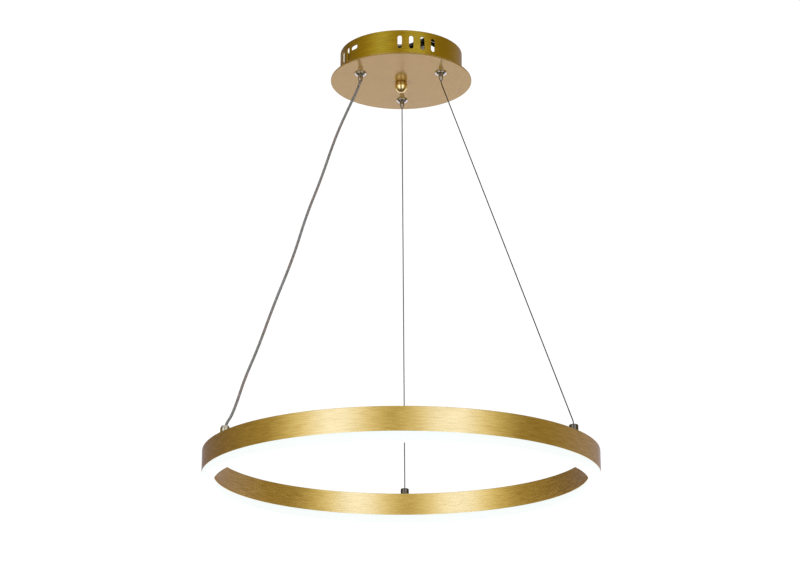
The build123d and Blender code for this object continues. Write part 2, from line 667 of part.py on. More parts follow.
def cable_tail(name):
    """Spare end of a steel cable above its grip, bent over along the drum."""
    bend_z = GRIP_TOP_Z + TAIL_BEND_RISE
    turn = math.radians(TAIL_TURN)
    route = [
        (0, 0, CABLE_TOP_Z), (0, 0, bend_z), (0, TAIL_LEG, bend_z),
        (-TAIL_LEG * math.sin(turn), TAIL_LEG * (1 + math.cos(turn)), bend_z),
    ]
    return on_circle(GRIP_CIRCLE_R, 0, tube(name, route, STEEL_R))


def power_cable():
    """Clear-jacketed cable, a little wavy, from its grip to the gland on the ring."""
    return tube("power_cable", [(radius, 0, height) for radius, height in POWER_ROUTE], POWER_R)


# Driver and wiring
def driver_case():
    """Open box on the disc with four posts under the board."""
    case = block(DRIVER_LENGTH, DRIVER_WIDTH, DISC_TOP_Z, DRIVER_LID_Z)
    inside_length = DRIVER_LENGTH - 2 * DRIVER_WALL
    inside_width = DRIVER_WIDTH - 2 * DRIVER_WALL
    floor_z = DISC_TOP_Z + DRIVER_WALL
    case -= block(inside_length, inside_width, floor_z, DRIVER_LID_Z)
    corners = GridLocations(inside_length - 2 * POST_INSET, inside_width - 2 * POST_INSET, 2, 2)
    return case + [place * post(POST_R, floor_z, BOARD_BASE_Z) for place in corners]


def driver_lid():
    """Lid with a locating lip inside the case."""
    plate = block(DRIVER_LENGTH, DRIVER_WIDTH, DRIVER_LID_Z, DRIVER_LID_Z + DRIVER_LID)
    lip_length = DRIVER_LENGTH - 2 * (DRIVER_WALL + BOARD_MARGIN)
    lip_width = DRIVER_WIDTH - 2 * (DRIVER_WALL + BOARD_MARGIN)
    lip = block(lip_length, lip_width, DRIVER_LID_Z - DRIVER_LID_LIP, DRIVER_LID_Z)
    lip -= block(
        lip_length - 2 * DRIVER_WALL, lip_width - 2 * DRIVER_WALL, DRIVER_LID_Z - DRIVER_LID_LIP, DRIVER_LID_Z
    )
    return plate + lip


def driver_board():
    """Circuit board on the posts."""
    margin = 2 * (DRIVER_WALL + BOARD_MARGIN)
    return block(DRIVER_LENGTH - margin, DRIVER_WIDTH - margin, BOARD_BASE_Z, BOARD_TOP_Z)


def driver_transformer():
    """Wound core on the board."""
    length, width, height = TRANSFORMER_SIZE
    body = block(length, width, BOARD_TOP_Z, BOARD_TOP_Z + height)
    return Pos(TRANSFORMER_X, 0, 0) * fillet(body.edges().filter_by(Axis.Z), TRANSFORMER_ROUND)


def driver_capacitors():
    """Two cans on the board."""
    can = post(CAPACITOR_R, BOARD_TOP_Z, BOARD_TOP_Z + CAPACITOR_HEIGHT)
    return [Pos(CAPACITOR_X, side * CAPACITOR_SPACING / 2, 0) * can for side in (-1, 1)]


def block_screw_places():
    """Places of the four clamping screws of the terminal block."""
    return GridLocations(BLOCK_SCREW_SPACING, BLOCK_SCREW_ROW, 2, 2)


def terminal_screws():
    """Slotted clamping screws, flush with the top of the block."""
    screw = post(BLOCK_SCREW_R, BLOCK_TOP_Z - BLOCK_SCREW_DEPTH, BLOCK_TOP_Z)
    return [place * screw for place in block_screw_places()]


def terminal_block():
    """Insulating block for the house wiring."""
    return block(BLOCK_LENGTH, BLOCK_WIDTH, DISC_TOP_Z, BLOCK_TOP_Z) - terminal_screws()


def mains_lead(name, rise, entry_shift):
    """Lead from the front of the driver, round inside the drum, to the side of the terminal block."""
    wall_r = DRUM_INNER_R - LEAD_WALL_GAP
    exit_z = DISC_TOP_Z + LEAD_EXIT_HEIGHT + rise
    entry_y = BLOCK_Y + entry_shift
    entry_z = DISC_TOP_Z + LEAD_ENTRY_HEIGHT
    stops = [(wall_r, angle, height) for angle, height in LEAD_WALL_STOPS]
    stops.append((DRUM_INNER_R - LEAD_TURN_GAP, LEAD_TURN_ANGLE, LEAD_TURN_HEIGHT))
    route = [(LEAD_EXIT_X, DRIVER_FRONT_Y, exit_z), (LEAD_EXIT_X, DRIVER_FRONT_Y - LEAD_EXIT_RUN, exit_z)]
    for radius, angle, height in stops:
        turn = math.radians(angle)
        route.append((radius * math.cos(turn), radius * math.sin(turn), DISC_TOP_Z + height + rise))
    route += [(BLOCK_END_X + LEAD_ENTRY_RUN, entry_y, entry_z), (BLOCK_END_X, entry_y, entry_z)]
    return tube(name, route, LEAD_R)


def output_leads():
    """Two cores from the top of the power grip over to the left end of the driver."""
    grip_x = GRIP_CIRCLE_R * math.cos(math.radians(POWER_ANGLE))
    grip_y = GRIP_CIRCLE_R * math.sin(math.radians(POWER_ANGLE))
    drop_x = (grip_x + GRIP_BARREL_R - DRIVER_END_X) / 2
    over_z = GRIP_TOP_Z + OUTPUT_RISE
    entry_z = DISC_TOP_Z + OUTPUT_ENTRY
    cores = []
    for side in (-OUTPUT_SPREAD, OUTPUT_SPREAD):
        row_y = grip_y + side
        route = [
            (grip_x, row_y, GRIP_TOP_Z + POWER_TAIL_RISE), (grip_x, row_y, over_z), (drop_x, row_y, over_z),
            (drop_x, row_y, entry_z), (-DRIVER_END_X, row_y, entry_z),
        ]
        cores.append(tube("output_leads", route, OUTPUT_R, OUTPUT_BEND))
    return Compound(cores)


# Write every sub-part
save("ring_housing", ring_housing())
save("diffuser", diffuser())
save("led_strip", led_strip())
save("led_chips", led_chips())
save("ring_nuts", ring_nuts())
save("ring_leads", ring_leads())
save("power_gland_cap", on_circle(RING_MID_R, POWER_ANGLE, power_gland_cap()))
save("power_gland_stud", on_circle(RING_MID_R, POWER_ANGLE, power_gland_stud()))

save("canopy_disc", canopy_disc())
save("canopy_drum", canopy_drum())
save("mounting_bracket", mounting_bracket())
save("centre_stud", centre_stud())
save("stud_washer", stud_washer())
save("stud_nuts", stud_nuts())
save("finial_nut", finial_nut())

save("grip_nuts", grip_nuts())
save("cord_grip_body", on_circle(GRIP_CIRCLE_R, POWER_ANGLE, grip_body()))
save("cord_grip_cap", on_circle(GRIP_CIRCLE_R, POWER_ANGLE, grip_cap(POWER_BORE_R)))
save("cord_grip_nozzle", on_circle(GRIP_CIRCLE_R, POWER_ANGLE, cord_nozzle()))
save("cord_grip_sleeve", on_circle(GRIP_CIRCLE_R, POWER_ANGLE, cord_sleeve()))
power_tail = post(POWER_R, CABLE_TOP_Z, GRIP_TOP_Z + POWER_TAIL_RISE)
save("power_cable_tail", on_circle(GRIP_CIRCLE_R, POWER_ANGLE, power_tail))
save("power_cable", Rot(0, 0, POWER_ANGLE) * power_cable())

for side, angle in STEEL_ANGLES.items():
    save(f"grip_body_{side}", on_circle(GRIP_CIRCLE_R, angle, grip_body()))
    save(f"grip_cap_{side}", on_circle(GRIP_CIRCLE_R, angle, grip_cap(STEEL_BORE_R)))
    save(f"grip_plunger_{side}", on_circle(GRIP_CIRCLE_R, angle, grip_plunger()))
    save(f"grip_balls_{side}", Compound([on_circle(GRIP_CIRCLE_R, angle, ball) for ball in grip_balls()]))
    save(f"grip_spring_{side}", on_circle(GRIP_CIRCLE_R, angle, grip_spring()))
    save(f"cable_tail_{side}", Rot(0, 0, angle) * cable_tail(f"cable_tail_{side}"))
    save(f"steel_cable_{side}", Rot(0, 0, angle) * steel_cable(f"steel_cable_{side}"))
    save(f"terminal_cap_{side}", on_circle(RING_MID_R, angle, terminal_cap()))
    save(f"terminal_stud_{side}", on_circle(RING_MID_R, angle, terminal_stud()))
    save(f"ferrule_{side}", on_circle(RING_MID_R, angle, ferrule()))

driver_place = Pos(0, DRIVER_Y, 0)
save("driver_case", driver_place * driver_case())
save("driver_lid", driver_place * driver_lid())
save("driver_board", driver_place * driver_board())
save("driver_transformer", driver_place * driver_transformer())
save("driver_capacitors", Compound([driver_place * can for can in driver_capacitors()]))
block_place = Pos(0, BLOCK_Y, 0)
save("terminal_block", block_place * terminal_block())
save("terminal_screws", Compound([block_place * screw for screw in terminal_screws()]))
save("mains_lead_live", mains_lead("mains_lead_live", LEAD_PAIR_RISE, LEAD_ENTRY_SHIFT))
save("mains_lead_neutral", mains_lead("mains_lead_neutral", 0, -LEAD_ENTRY_SHIFT))
save("output_leads", output_leads())
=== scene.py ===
# %% [markdown]
# # Ring pendant light
#
# The lamp is a slotted golden canopy on the ceiling, three thin cables, and a glowing ring that
# hangs level below it. The CAD model is the frame: it gives every place and size and never moves.
# Nearly all that the eye sees is turned, drawn or wound, so those pieces are made again as smooth
# surfaces worked out with numpy, and then every piece gets its finish.

# %% Load the frame
import json
import math

import bmesh
import bpy
import numpy as np
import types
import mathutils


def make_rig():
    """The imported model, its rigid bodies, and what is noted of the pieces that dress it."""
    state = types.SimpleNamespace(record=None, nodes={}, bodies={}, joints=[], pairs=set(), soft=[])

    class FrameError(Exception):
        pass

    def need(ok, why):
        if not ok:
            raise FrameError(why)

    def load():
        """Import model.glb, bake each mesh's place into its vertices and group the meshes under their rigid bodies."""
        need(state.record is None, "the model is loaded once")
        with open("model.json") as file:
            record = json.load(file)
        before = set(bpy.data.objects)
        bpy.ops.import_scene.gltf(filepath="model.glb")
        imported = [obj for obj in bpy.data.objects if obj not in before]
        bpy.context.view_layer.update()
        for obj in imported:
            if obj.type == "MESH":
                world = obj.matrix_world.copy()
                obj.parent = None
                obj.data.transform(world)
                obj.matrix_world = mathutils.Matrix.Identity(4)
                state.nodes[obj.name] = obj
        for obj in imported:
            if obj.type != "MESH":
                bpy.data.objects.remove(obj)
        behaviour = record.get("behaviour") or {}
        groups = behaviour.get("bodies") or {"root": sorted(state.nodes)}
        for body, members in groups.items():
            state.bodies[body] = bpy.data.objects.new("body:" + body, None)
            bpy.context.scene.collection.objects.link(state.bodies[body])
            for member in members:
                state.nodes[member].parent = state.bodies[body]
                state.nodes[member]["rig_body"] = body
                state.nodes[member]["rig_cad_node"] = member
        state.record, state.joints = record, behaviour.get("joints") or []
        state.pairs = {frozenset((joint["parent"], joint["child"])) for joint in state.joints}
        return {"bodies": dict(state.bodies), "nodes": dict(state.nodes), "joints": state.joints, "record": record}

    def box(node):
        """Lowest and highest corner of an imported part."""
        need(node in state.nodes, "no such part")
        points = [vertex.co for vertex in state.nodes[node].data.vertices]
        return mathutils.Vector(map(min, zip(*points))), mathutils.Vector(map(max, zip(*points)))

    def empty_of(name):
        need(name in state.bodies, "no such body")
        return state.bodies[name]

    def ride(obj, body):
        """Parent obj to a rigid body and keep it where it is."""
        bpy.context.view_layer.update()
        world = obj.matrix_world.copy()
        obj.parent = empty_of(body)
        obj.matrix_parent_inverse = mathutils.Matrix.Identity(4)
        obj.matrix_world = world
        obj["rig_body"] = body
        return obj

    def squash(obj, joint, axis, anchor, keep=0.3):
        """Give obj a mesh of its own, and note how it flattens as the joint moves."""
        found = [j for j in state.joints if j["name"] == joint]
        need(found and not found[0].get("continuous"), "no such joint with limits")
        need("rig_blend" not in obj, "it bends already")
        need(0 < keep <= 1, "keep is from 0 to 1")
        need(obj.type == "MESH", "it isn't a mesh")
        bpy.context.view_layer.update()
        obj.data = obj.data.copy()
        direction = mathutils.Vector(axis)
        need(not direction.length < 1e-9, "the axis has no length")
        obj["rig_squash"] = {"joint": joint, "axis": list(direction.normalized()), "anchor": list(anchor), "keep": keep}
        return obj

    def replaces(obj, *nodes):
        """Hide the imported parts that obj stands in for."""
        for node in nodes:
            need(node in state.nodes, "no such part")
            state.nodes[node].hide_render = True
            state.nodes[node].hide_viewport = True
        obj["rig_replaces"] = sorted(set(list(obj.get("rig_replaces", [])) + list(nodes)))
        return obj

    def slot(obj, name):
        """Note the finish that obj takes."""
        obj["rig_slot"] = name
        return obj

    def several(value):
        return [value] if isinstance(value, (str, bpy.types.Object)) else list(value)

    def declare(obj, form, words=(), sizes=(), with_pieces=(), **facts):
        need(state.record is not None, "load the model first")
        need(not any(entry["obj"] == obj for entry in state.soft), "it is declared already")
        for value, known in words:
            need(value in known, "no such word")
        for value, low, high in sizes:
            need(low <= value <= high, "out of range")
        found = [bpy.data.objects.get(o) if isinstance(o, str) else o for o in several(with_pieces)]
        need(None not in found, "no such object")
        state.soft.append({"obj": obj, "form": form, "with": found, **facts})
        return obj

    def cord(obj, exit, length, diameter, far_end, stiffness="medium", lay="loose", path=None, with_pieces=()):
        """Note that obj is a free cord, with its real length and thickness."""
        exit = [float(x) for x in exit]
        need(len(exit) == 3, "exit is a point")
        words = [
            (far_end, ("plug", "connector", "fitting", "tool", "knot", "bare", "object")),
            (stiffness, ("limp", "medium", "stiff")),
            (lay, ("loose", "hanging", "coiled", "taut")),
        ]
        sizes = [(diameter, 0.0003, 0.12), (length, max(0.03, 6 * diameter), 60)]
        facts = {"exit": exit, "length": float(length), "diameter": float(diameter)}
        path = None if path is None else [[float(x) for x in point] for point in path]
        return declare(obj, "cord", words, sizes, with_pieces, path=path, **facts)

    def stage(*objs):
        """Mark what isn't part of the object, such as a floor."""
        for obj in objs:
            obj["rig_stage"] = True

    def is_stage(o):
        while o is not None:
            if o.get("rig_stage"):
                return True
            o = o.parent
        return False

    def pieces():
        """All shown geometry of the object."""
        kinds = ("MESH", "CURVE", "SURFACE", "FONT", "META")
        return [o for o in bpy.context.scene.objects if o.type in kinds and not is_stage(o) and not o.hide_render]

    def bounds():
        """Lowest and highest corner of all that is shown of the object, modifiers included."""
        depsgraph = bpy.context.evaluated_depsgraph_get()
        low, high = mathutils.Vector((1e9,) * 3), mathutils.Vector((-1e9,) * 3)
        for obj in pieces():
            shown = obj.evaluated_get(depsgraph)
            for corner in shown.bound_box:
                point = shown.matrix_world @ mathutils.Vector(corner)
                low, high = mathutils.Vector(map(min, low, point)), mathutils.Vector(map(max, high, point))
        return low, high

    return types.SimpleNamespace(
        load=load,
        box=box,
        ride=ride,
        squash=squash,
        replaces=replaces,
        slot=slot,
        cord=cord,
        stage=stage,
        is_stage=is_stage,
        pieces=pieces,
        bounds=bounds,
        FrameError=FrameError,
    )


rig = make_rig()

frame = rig.load()
cad_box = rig.bounds()
MM = 0.001
UP = np.array([0.0, 0.0, 1.0])
MERGE_DISTANCE = 1e-7
print("CAD nodes:", len(frame["nodes"]))
print("CAD box:", np.round(cad_box, 4).tolist())

# %% [markdown]
# ## Camera
#
# The lamp was taken with a long lens from below, a little to the right of straight on, looking up.
# A camera could be placed by eye, but the ring is a true circle, so its outline gives the distance,
# the height and the pitch.

# %% Place the camera
CAMERA_DISTANCE = 2.027
CAMERA_Z = -0.9054
CAMERA_PITCH = math.radians(17.554)
CAMERA_TURN = math.radians(1.2)
CAMERA_SIDE = -0.0012
FOCAL_PX = 2056.95
IMAGE_WIDTH_PX = 800
SENSOR_WIDTH = 36
front = np.array([math.sin(CAMERA_TURN), -math.cos(CAMERA_TURN), 0])
camera_data = bpy.data.cameras.new("camera")
camera_data.sensor_width = SENSOR_WIDTH
camera_data.lens = SENSOR_WIDTH * FOCAL_PX / IMAGE_WIDTH_PX
camera = bpy.data.objects.new("camera", camera_data)
camera.location = CAMERA_DISTANCE * front + CAMERA_SIDE * np.cross(UP, front) + CAMERA_Z * UP
camera.rotation_euler = (math.pi / 2 + CAMERA_PITCH, 0, CAMERA_TURN)
bpy.context.collection.objects.link(camera)
bpy.context.scene.camera = camera
print("lens", round(camera_data.lens, 2), "mm at", np.round(camera.location, 3).tolist())

# %% [markdown]
# ## From arrays to meshes
#
# Every new surface is a grid: one parameter runs along rows, the other round columns. One helper
# numbers the four corners of each cell, and another puts points, faces and a UV map into a mesh.
# The UV map holds the two parameters themselves, so a finish can follow the surface.


# %% Grid helpers
def grid_faces(rows, columns, close_rows=False, close_columns=True):
    """Cells of a grid: corner, next column, next row and column, next row, numbered row by row."""
    corner = np.arange(rows * columns).reshape(rows, columns)
    right = np.roll(corner, -1, axis=1)
    cells = np.stack([corner, right, np.roll(right, -1, axis=0), np.roll(corner, -1, axis=0)], axis=-1)
    return cells[: rows - (not close_rows), : columns - (not close_columns)].reshape(-1, 4)


def grid_uv(along, columns, close_rows=False):
    """Two parameters at each corner of each cell: the share of a turn, and the distance along."""
    if close_rows:
        along = np.append(along, 2 * along[-1] - along[-2])
    share = np.arange(columns + 1) / columns
    values = np.stack(np.meshgrid(share, along), axis=-1).reshape(-1, 2)
    return values[grid_faces(len(along), columns + 1, close_columns=False)].reshape(-1, 2)


def add_mesh(name, points, faces, uv=None, ends=()):
    """Object of a grid of points: smooth cells, flat end faces, doubles merged, place in the mesh."""
    mesh = bpy.data.meshes.new(name)
    mesh.from_pydata(points.reshape(-1, 3), [], [*faces.tolist(), *[list(end) for end in ends]])
    smooth = np.arange(len(mesh.polygons)) < len(faces)
    mesh.polygons.foreach_set("use_smooth", smooth)
    if uv is not None:
        layer = mesh.uv_layers.new(name="surface")
        values = np.zeros((len(mesh.loops), 2))
        values[: len(uv)] = uv
        layer.data.foreach_set("uv", values.ravel())
    work = bmesh.new()
    work.from_mesh(mesh)
    bmesh.ops.remove_doubles(work, verts=work.verts, dist=MERGE_DISTANCE)
    work.to_mesh(mesh)
    work.free()
    piece = bpy.data.objects.new(name, mesh)
    bpy.context.collection.objects.link(piece)
    print(name, "faces:", len(mesh.polygons))
    return piece


def joined(patches):
    """Several grids as one: the points stacked, the faces numbered on."""
    points = [patch.reshape(-1, patch.shape[-1]) for patch, _ in patches]
    starts = np.cumsum([0, *[len(part) for part in points]])
    faces = [cells + start for (_, cells), start in zip(patches, starts)]
    return np.vstack(points), np.vstack(faces)


def dress(piece, body, slot, *nodes):
    """Let a piece move with a body, take its finish from a slot and stand for CAD nodes."""
    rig.ride(piece, body)
    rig.slot(piece, slot)
    if nodes:
        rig.replaces(piece, *nodes)
    return piece


def middle(node):
    """Middle of a CAD node's box, and its lowest and highest level."""
    low, high = (np.array(corner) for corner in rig.box(node))
    return (low + high)[:2] / 2, low[2], high[2]


def half_width(node):
    """Half of a CAD node's width along x."""
    low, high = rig.box(node)
    return (high[0] - low[0]) / 2


# %% [markdown]
# ## Cables
#
# Each cable is one smooth line, a NURBS spline whose control points are the route. The spline is
# read back as points and a section is carried along them. The power cable hangs in a loose line; the
# two steel ropes are pulled straight, so their long runs get one more point near each bend.

# %% Lines and tubes
SPLINE_STEPS = 48
LINE_STEP = 1.5 * MM


def spline_line(route, spacing=LINE_STEP):
    """Evenly spaced points of the quadratic NURBS spline that has the route as its control points."""
    curve = bpy.data.curves.new("line", "CURVE")
    curve.dimensions = "3D"
    curve.resolution_u = SPLINE_STEPS
    spline = curve.splines.new("NURBS")
    spline.points.add(len(route) - 1)
    spline.points.foreach_set("co", np.column_stack([route, np.ones(len(route))]).ravel())
    spline.order_u = 3
    spline.use_endpoint_u = True
    holder = bpy.data.objects.new("line", curve)
    mesh = bpy.data.meshes.new_from_object(holder)
    line = np.empty(3 * len(mesh.vertices))
    mesh.vertices.foreach_get("co", line)
    line = line.reshape(-1, 3)
    bpy.data.meshes.remove(mesh)
    bpy.data.objects.remove(holder)
    bpy.data.curves.remove(curve)
    travelled = distance_along(line)
    print("line", round(travelled[-1] / MM, 1), "mm")
    stops = np.linspace(0, travelled[-1], max(2, round(travelled[-1] / spacing)) + 1)
    return np.column_stack([np.interp(stops, travelled, line[:, axis]) for axis in range(3)])


def distance_along(line):
    """Length of a line up to each of its points: the steps between neighbours added up."""
    steps = np.linalg.norm(np.diff(line, axis=0), axis=1)
    return np.concatenate([[0], np.cumsum(steps)])


def across(line, side):
    """Two directions square to a line: its tangent crossed with a side direction, then the rest."""
    tangent = np.gradient(line, axis=0)
    tangent /= np.linalg.norm(tangent, axis=1)[:, None]
    second = np.cross(tangent, side)
    second /= np.linalg.norm(second, axis=1)[:, None]
    first = np.cross(second, tangent)
    return first, second


def add_tube(name, line, side, radius, turns=0, sides=16):
    """Section carried along a line: point + radius times cosine and sine in the two directions across.

    The radius is a number, or an array over the section's angles. Turns twist its lobes into strands.
    """
    first, second = across(line, side)
    angle = np.linspace(0, 2 * np.pi, sides, endpoint=False)
    travelled = distance_along(line)
    twist = 2 * np.pi * turns * travelled / travelled[-1]
    angles = angle[None, :] + twist[:, None]
    reach = np.broadcast_to(radius, angle.shape)[None, :, None]
    points = line[:, None] + reach * (
        np.cos(angles)[..., None] * first[:, None] + np.sin(angles)[..., None] * second[:, None]
    )
    faces = grid_faces(len(line), sides)
    last = (len(line) - 1) * sides
    ends = (range(sides - 1, -1, -1), range(last, last + sides))
    return add_mesh(name, points, faces, grid_uv(travelled, sides), ends)


# %% Places of the fittings
FITTING_ANGLES = {"far": 90, "left": 210, "right": 330}
GRIP_NODES = {"far": "grip_body_far", "left": "cord_grip_body", "right": "grip_body_right"}
CABLE_TOP_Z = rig.box("power_cable")[1][2]
grip_r = float(np.linalg.norm(middle("cord_grip_body")[0]))
ring_mid_r = float(np.linalg.norm(middle("power_gland_cap")[0]))


def outward(place):
    """Direction from the lamp's axis towards a fitting."""
    angle = math.radians(FITTING_ANGLES[place])
    return np.array([math.cos(angle), math.sin(angle), 0])


def sideways(place):
    """Direction round the lamp at a fitting, square to the plane of its cable."""
    return np.cross(UP, outward(place))


def in_plane(place, stops):
    """Route in the upright plane of a fitting, from distances off the axis and heights."""
    stops = np.asarray(stops)
    return stops[:, :1] * outward(place) + stops[:, 1:] * UP


print("grips", round(grip_r / MM, 2), "mm from the axis, terminals", round(ring_mid_r / MM, 2), "mm")

# %% Power cable
POWER_R = 1.4 * MM
POWER_LENGTH = 427.9 * MM
POWER_SIDES = 24
POWER_BEND_Z = -42.5 * MM
POWER_HELD_Z = -430 * MM
POWER_END_Z = -437 * MM
POWER_HANG_MM = [
    (60, -67), (77, -106), (94.5, -160), (110, -200), (124.4, -249),
    (145.5, -303), (160.5, -347), (174.2, -380), (181.5, -403.5), (187.6, -420.5),
]
DRAW_IN_DEPTH = 1 * MM
power_stops = np.vstack([
    [(grip_r, CABLE_TOP_Z), (grip_r, POWER_BEND_Z)], np.array(POWER_HANG_MM) * MM,
    [(ring_mid_r, POWER_HELD_Z), (ring_mid_r, POWER_END_Z)],
])
joints = frame["record"]["behaviour"]["joints"]
ring_travel = next(joint["range_m"][1] for joint in joints if joint["name"] == "height_adjust")
draw_in_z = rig.box("cord_grip_nozzle")[0][2] + DRAW_IN_DEPTH


def follow_ring(piece, held_z):
    """Shorten a cable towards its nozzle as the ring goes up; its held point goes up with the ring."""
    keep = 1 - ring_travel / (draw_in_z - held_z)
    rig.squash(piece, "height_adjust", axis=(0, 0, 1), anchor=(0, 0, draw_in_z), keep=keep)


power_line = spline_line(in_plane("left", power_stops))
power_jacket = add_tube("power_jacket", power_line, sideways("left"), POWER_R, sides=POWER_SIDES)
dress(power_jacket, "canopy", "clear_jacket", "power_cable")

# %% [markdown]
# Inside the clear jacket lie two stranded cores, one of bare copper and one tinned. They turn slowly
# round each other. Each core follows the same line, pushed off it by a small circle that goes round
# as the line goes on.

# %% Cores of the power cable
CORE_R = 0.58 * MM
CORE_OFFSET = 0.6 * MM
CORE_LAY = 75 * MM
CORE_DIP = 0.03 * MM
CORE_STRANDS = 7
CORE_SIDES = 28


def lobed(radius, depth, lobes, sides):
    """Section of strands: a circle whose radius dips by the depth between the lobes."""
    angle = np.linspace(0, 2 * np.pi, sides, endpoint=False)
    return radius - depth * np.abs(np.sin(lobes * angle / 2 + np.pi / 2))


def beside(line, side, offset, lay, start):
    """Line that winds round another: point + offset times a turning direction across it."""
    first, second = across(line, side)
    angle = start + 2 * np.pi * distance_along(line)[:, None] / lay
    return line + offset * (np.cos(angle) * first + np.sin(angle) * second)


core_section = lobed(CORE_R, CORE_DIP, CORE_STRANDS, CORE_SIDES)
core_turns = POWER_LENGTH / CORE_LAY
power_cores = []
for core_name, start in (("copper_core", 0), ("tinned_core", math.pi)):
    core_line = beside(power_line, sideways("left"), CORE_OFFSET, CORE_LAY, start)
    core = add_tube(core_name, core_line, sideways("left"), core_section, core_turns, CORE_SIDES)
    power_cores.append(dress(core, "canopy", "clear_jacket"))
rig.cord(
    power_jacket, exit=power_line[0], length=POWER_LENGTH, diameter=2 * POWER_R, far_end="object",
    stiffness="medium", lay="taut", path=power_line, with_pieces=power_cores,
)
for piece in (power_jacket, *power_cores):
    follow_ring(piece, POWER_HELD_Z)

# %% Steel ropes
STEEL_R = 0.6 * MM
STEEL_LENGTH = 425.4 * MM
STEEL_TOP_BEND_Z = -42 * MM
STEEL_LOW_BEND_Z = -429 * MM
STEEL_END_Z = -434.2 * MM
STEEL_HELD_Z = -431.5 * MM
ROPE_LAY = 8 * MM
ROPE_WIRES = 12
ROPE_DIP = 0.05 * MM
ROPE_SIDES = 48
ROPE_STEP = 0.75 * MM
rope_section = lobed(STEEL_R, ROPE_DIP, ROPE_WIRES, ROPE_SIDES)


def add_rope(name, route, side, length, node):
    """Rope of twisted wires along a route, in place of a CAD node, and its line."""
    line = spline_line(route, ROPE_STEP)
    rope = add_tube(name, line, side, rope_section, length / ROPE_LAY, ROPE_SIDES)
    return dress(rope, "canopy", "bright_steel", node), line


def steel_stops():
    """Down, straight to the ring and down, with a point near each bend of the long run."""
    top = np.array([grip_r, STEEL_TOP_BEND_Z])
    low = np.array([ring_mid_r, STEEL_LOW_BEND_Z])
    run = (low - top) / np.linalg.norm(low - top)
    near_top = top + run * (CABLE_TOP_Z - STEEL_TOP_BEND_Z)
    near_low = low - run * (STEEL_LOW_BEND_Z - STEEL_END_Z)
    return np.array([(grip_r, CABLE_TOP_Z), top, near_top, near_low, low, (ring_mid_r, STEEL_END_Z)])


for place in ("right", "far"):
    route = in_plane(place, steel_stops())
    node = f"steel_cable_{place}"
    rope, rope_line = add_rope(f"steel_rope_{place}", route, sideways(place), STEEL_LENGTH, node)
    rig.cord(
        rope, exit=rope_line[0], length=STEEL_LENGTH, diameter=2 * STEEL_R, far_end="object",
        stiffness="stiff", lay="taut", path=rope_line,
    )
    follow_ring(rope, STEEL_HELD_Z)

# %% [markdown]
# ## Wires inside the canopy
#
# Through the slots the eye finds two mains leads and, above the grips, the spare ends of the ropes.
# They are cords too: the routes of the CAD, with the heights behind the slots taken from the
# photograph, on the same kind of spline. Where the leads climb behind the front slots, each has a
# thick black tube round it, which makes the dark seen through the slots there.

# %% Mains leads
LEAD_R = 1.1 * MM
LEADS = {
    "live": {
        "slot": "black_lead", "length": 185.7 * MM, "exit": 11.5 * MM, "entry": 3 * MM,
        "wall_r": 60.4 * MM, "heights_mm": (10.8, 12, 15.6, 21.6, 26.4, 22, 19.5, 17.5, 15, 12.5),
    },
    "neutral": {
        "slot": "white_lead", "length": 184.3 * MM, "exit": 8.5 * MM, "entry": -3 * MM,
        "wall_r": 58 * MM, "heights_mm": (7, 9.3, 12, 17.6, 23.2, 18, 16.5, 14.5, 12, 9.5),
    },
}
LEAD_ANGLES = (262, 274, 283, 292, 302, 318, 336, 354, 370, 388)
LEAD_TURN_R = 50 * MM
LEAD_EXIT_X = -22 * MM
LEAD_STUB = 9 * MM
LEAD_ENTRY_HEIGHT = 7.5 * MM
DARK_TUBE_R = 2 * MM
DARK_TUBE_SIDES = 24
DARK_TUBE_ANGLES = (256, 313)
_, plate_base, disc_top_z = middle("canopy_disc")
driver_front_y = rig.box("driver_case")[0][1]
block_end_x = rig.box("terminal_block")[1][0]
block_y = middle("terminal_block")[0][1]


def lead_route(values):
    """Out of the driver's front, round behind the drum's wall, then into the side of the block."""
    entry = np.array([block_end_x, block_y + values["entry"], disc_top_z + LEAD_ENTRY_HEIGHT])
    angle = np.radians(LEAD_ANGLES)
    radius = np.full(len(angle), values["wall_r"])
    radius[-1] = LEAD_TURN_R
    height = disc_top_z + np.array(values["heights_mm"]) * MM
    round_wall = np.column_stack([radius * np.cos(angle), radius * np.sin(angle), height])
    exit_point = np.array([LEAD_EXIT_X, driver_front_y, disc_top_z + values["exit"]])
    out = [exit_point, exit_point - (0, LEAD_STUB, 0)]
    return np.vstack([out, round_wall, entry + (LEAD_STUB, 0, 0), entry])


for kind, values in LEADS.items():
    length = values["length"]
    lead_line = spline_line(lead_route(values))
    lead = add_tube(f"lead_{kind}", lead_line, UP, LEAD_R)
    dress(lead, "canopy", values["slot"], f"mains_lead_{kind}")
    turn = np.degrees(np.arctan2(lead_line[:, 1], lead_line[:, 0])) % 360
    # A thick black tube round each lead, only over the stretch behind the front slots, makes the dark seen there.
    behind_front_slots = lead_line[(turn > DARK_TUBE_ANGLES[0]) & (turn < DARK_TUBE_ANGLES[1])]
    dark_tube = add_tube(f"sleeve_{kind}", behind_front_slots, UP, DARK_TUBE_R, sides=DARK_TUBE_SIDES)
    dress(dark_tube, "canopy", "black_lead")
    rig.cord(
        lead, exit=lead_line[0], length=length, diameter=2 * LEAD_R, far_end="object",
        stiffness="limp", lay="loose", path=lead_line, with_pieces=[dark_tube],
    )

# %% Spare ends of the ropes
TAIL_LENGTH = 57.3 * MM
TAIL_LEG = 16 * MM
TAIL_TURN = math.radians(40)
TAIL_RISE = 8 * MM
tail_bend_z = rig.box("grip_body_far")[1][2] + TAIL_RISE


def tail_route(place):
    """Up through the grip, over along the drum, then a little inwards."""
    foot = outward(place) * grip_r
    bend = foot + tail_bend_z * UP
    leg = bend + sideways(place) * TAIL_LEG
    inwards = sideways(place) * math.cos(TAIL_TURN) - outward(place) * math.sin(TAIL_TURN)
    return np.array([foot + CABLE_TOP_Z * UP, bend, leg, leg + TAIL_LEG * inwards])


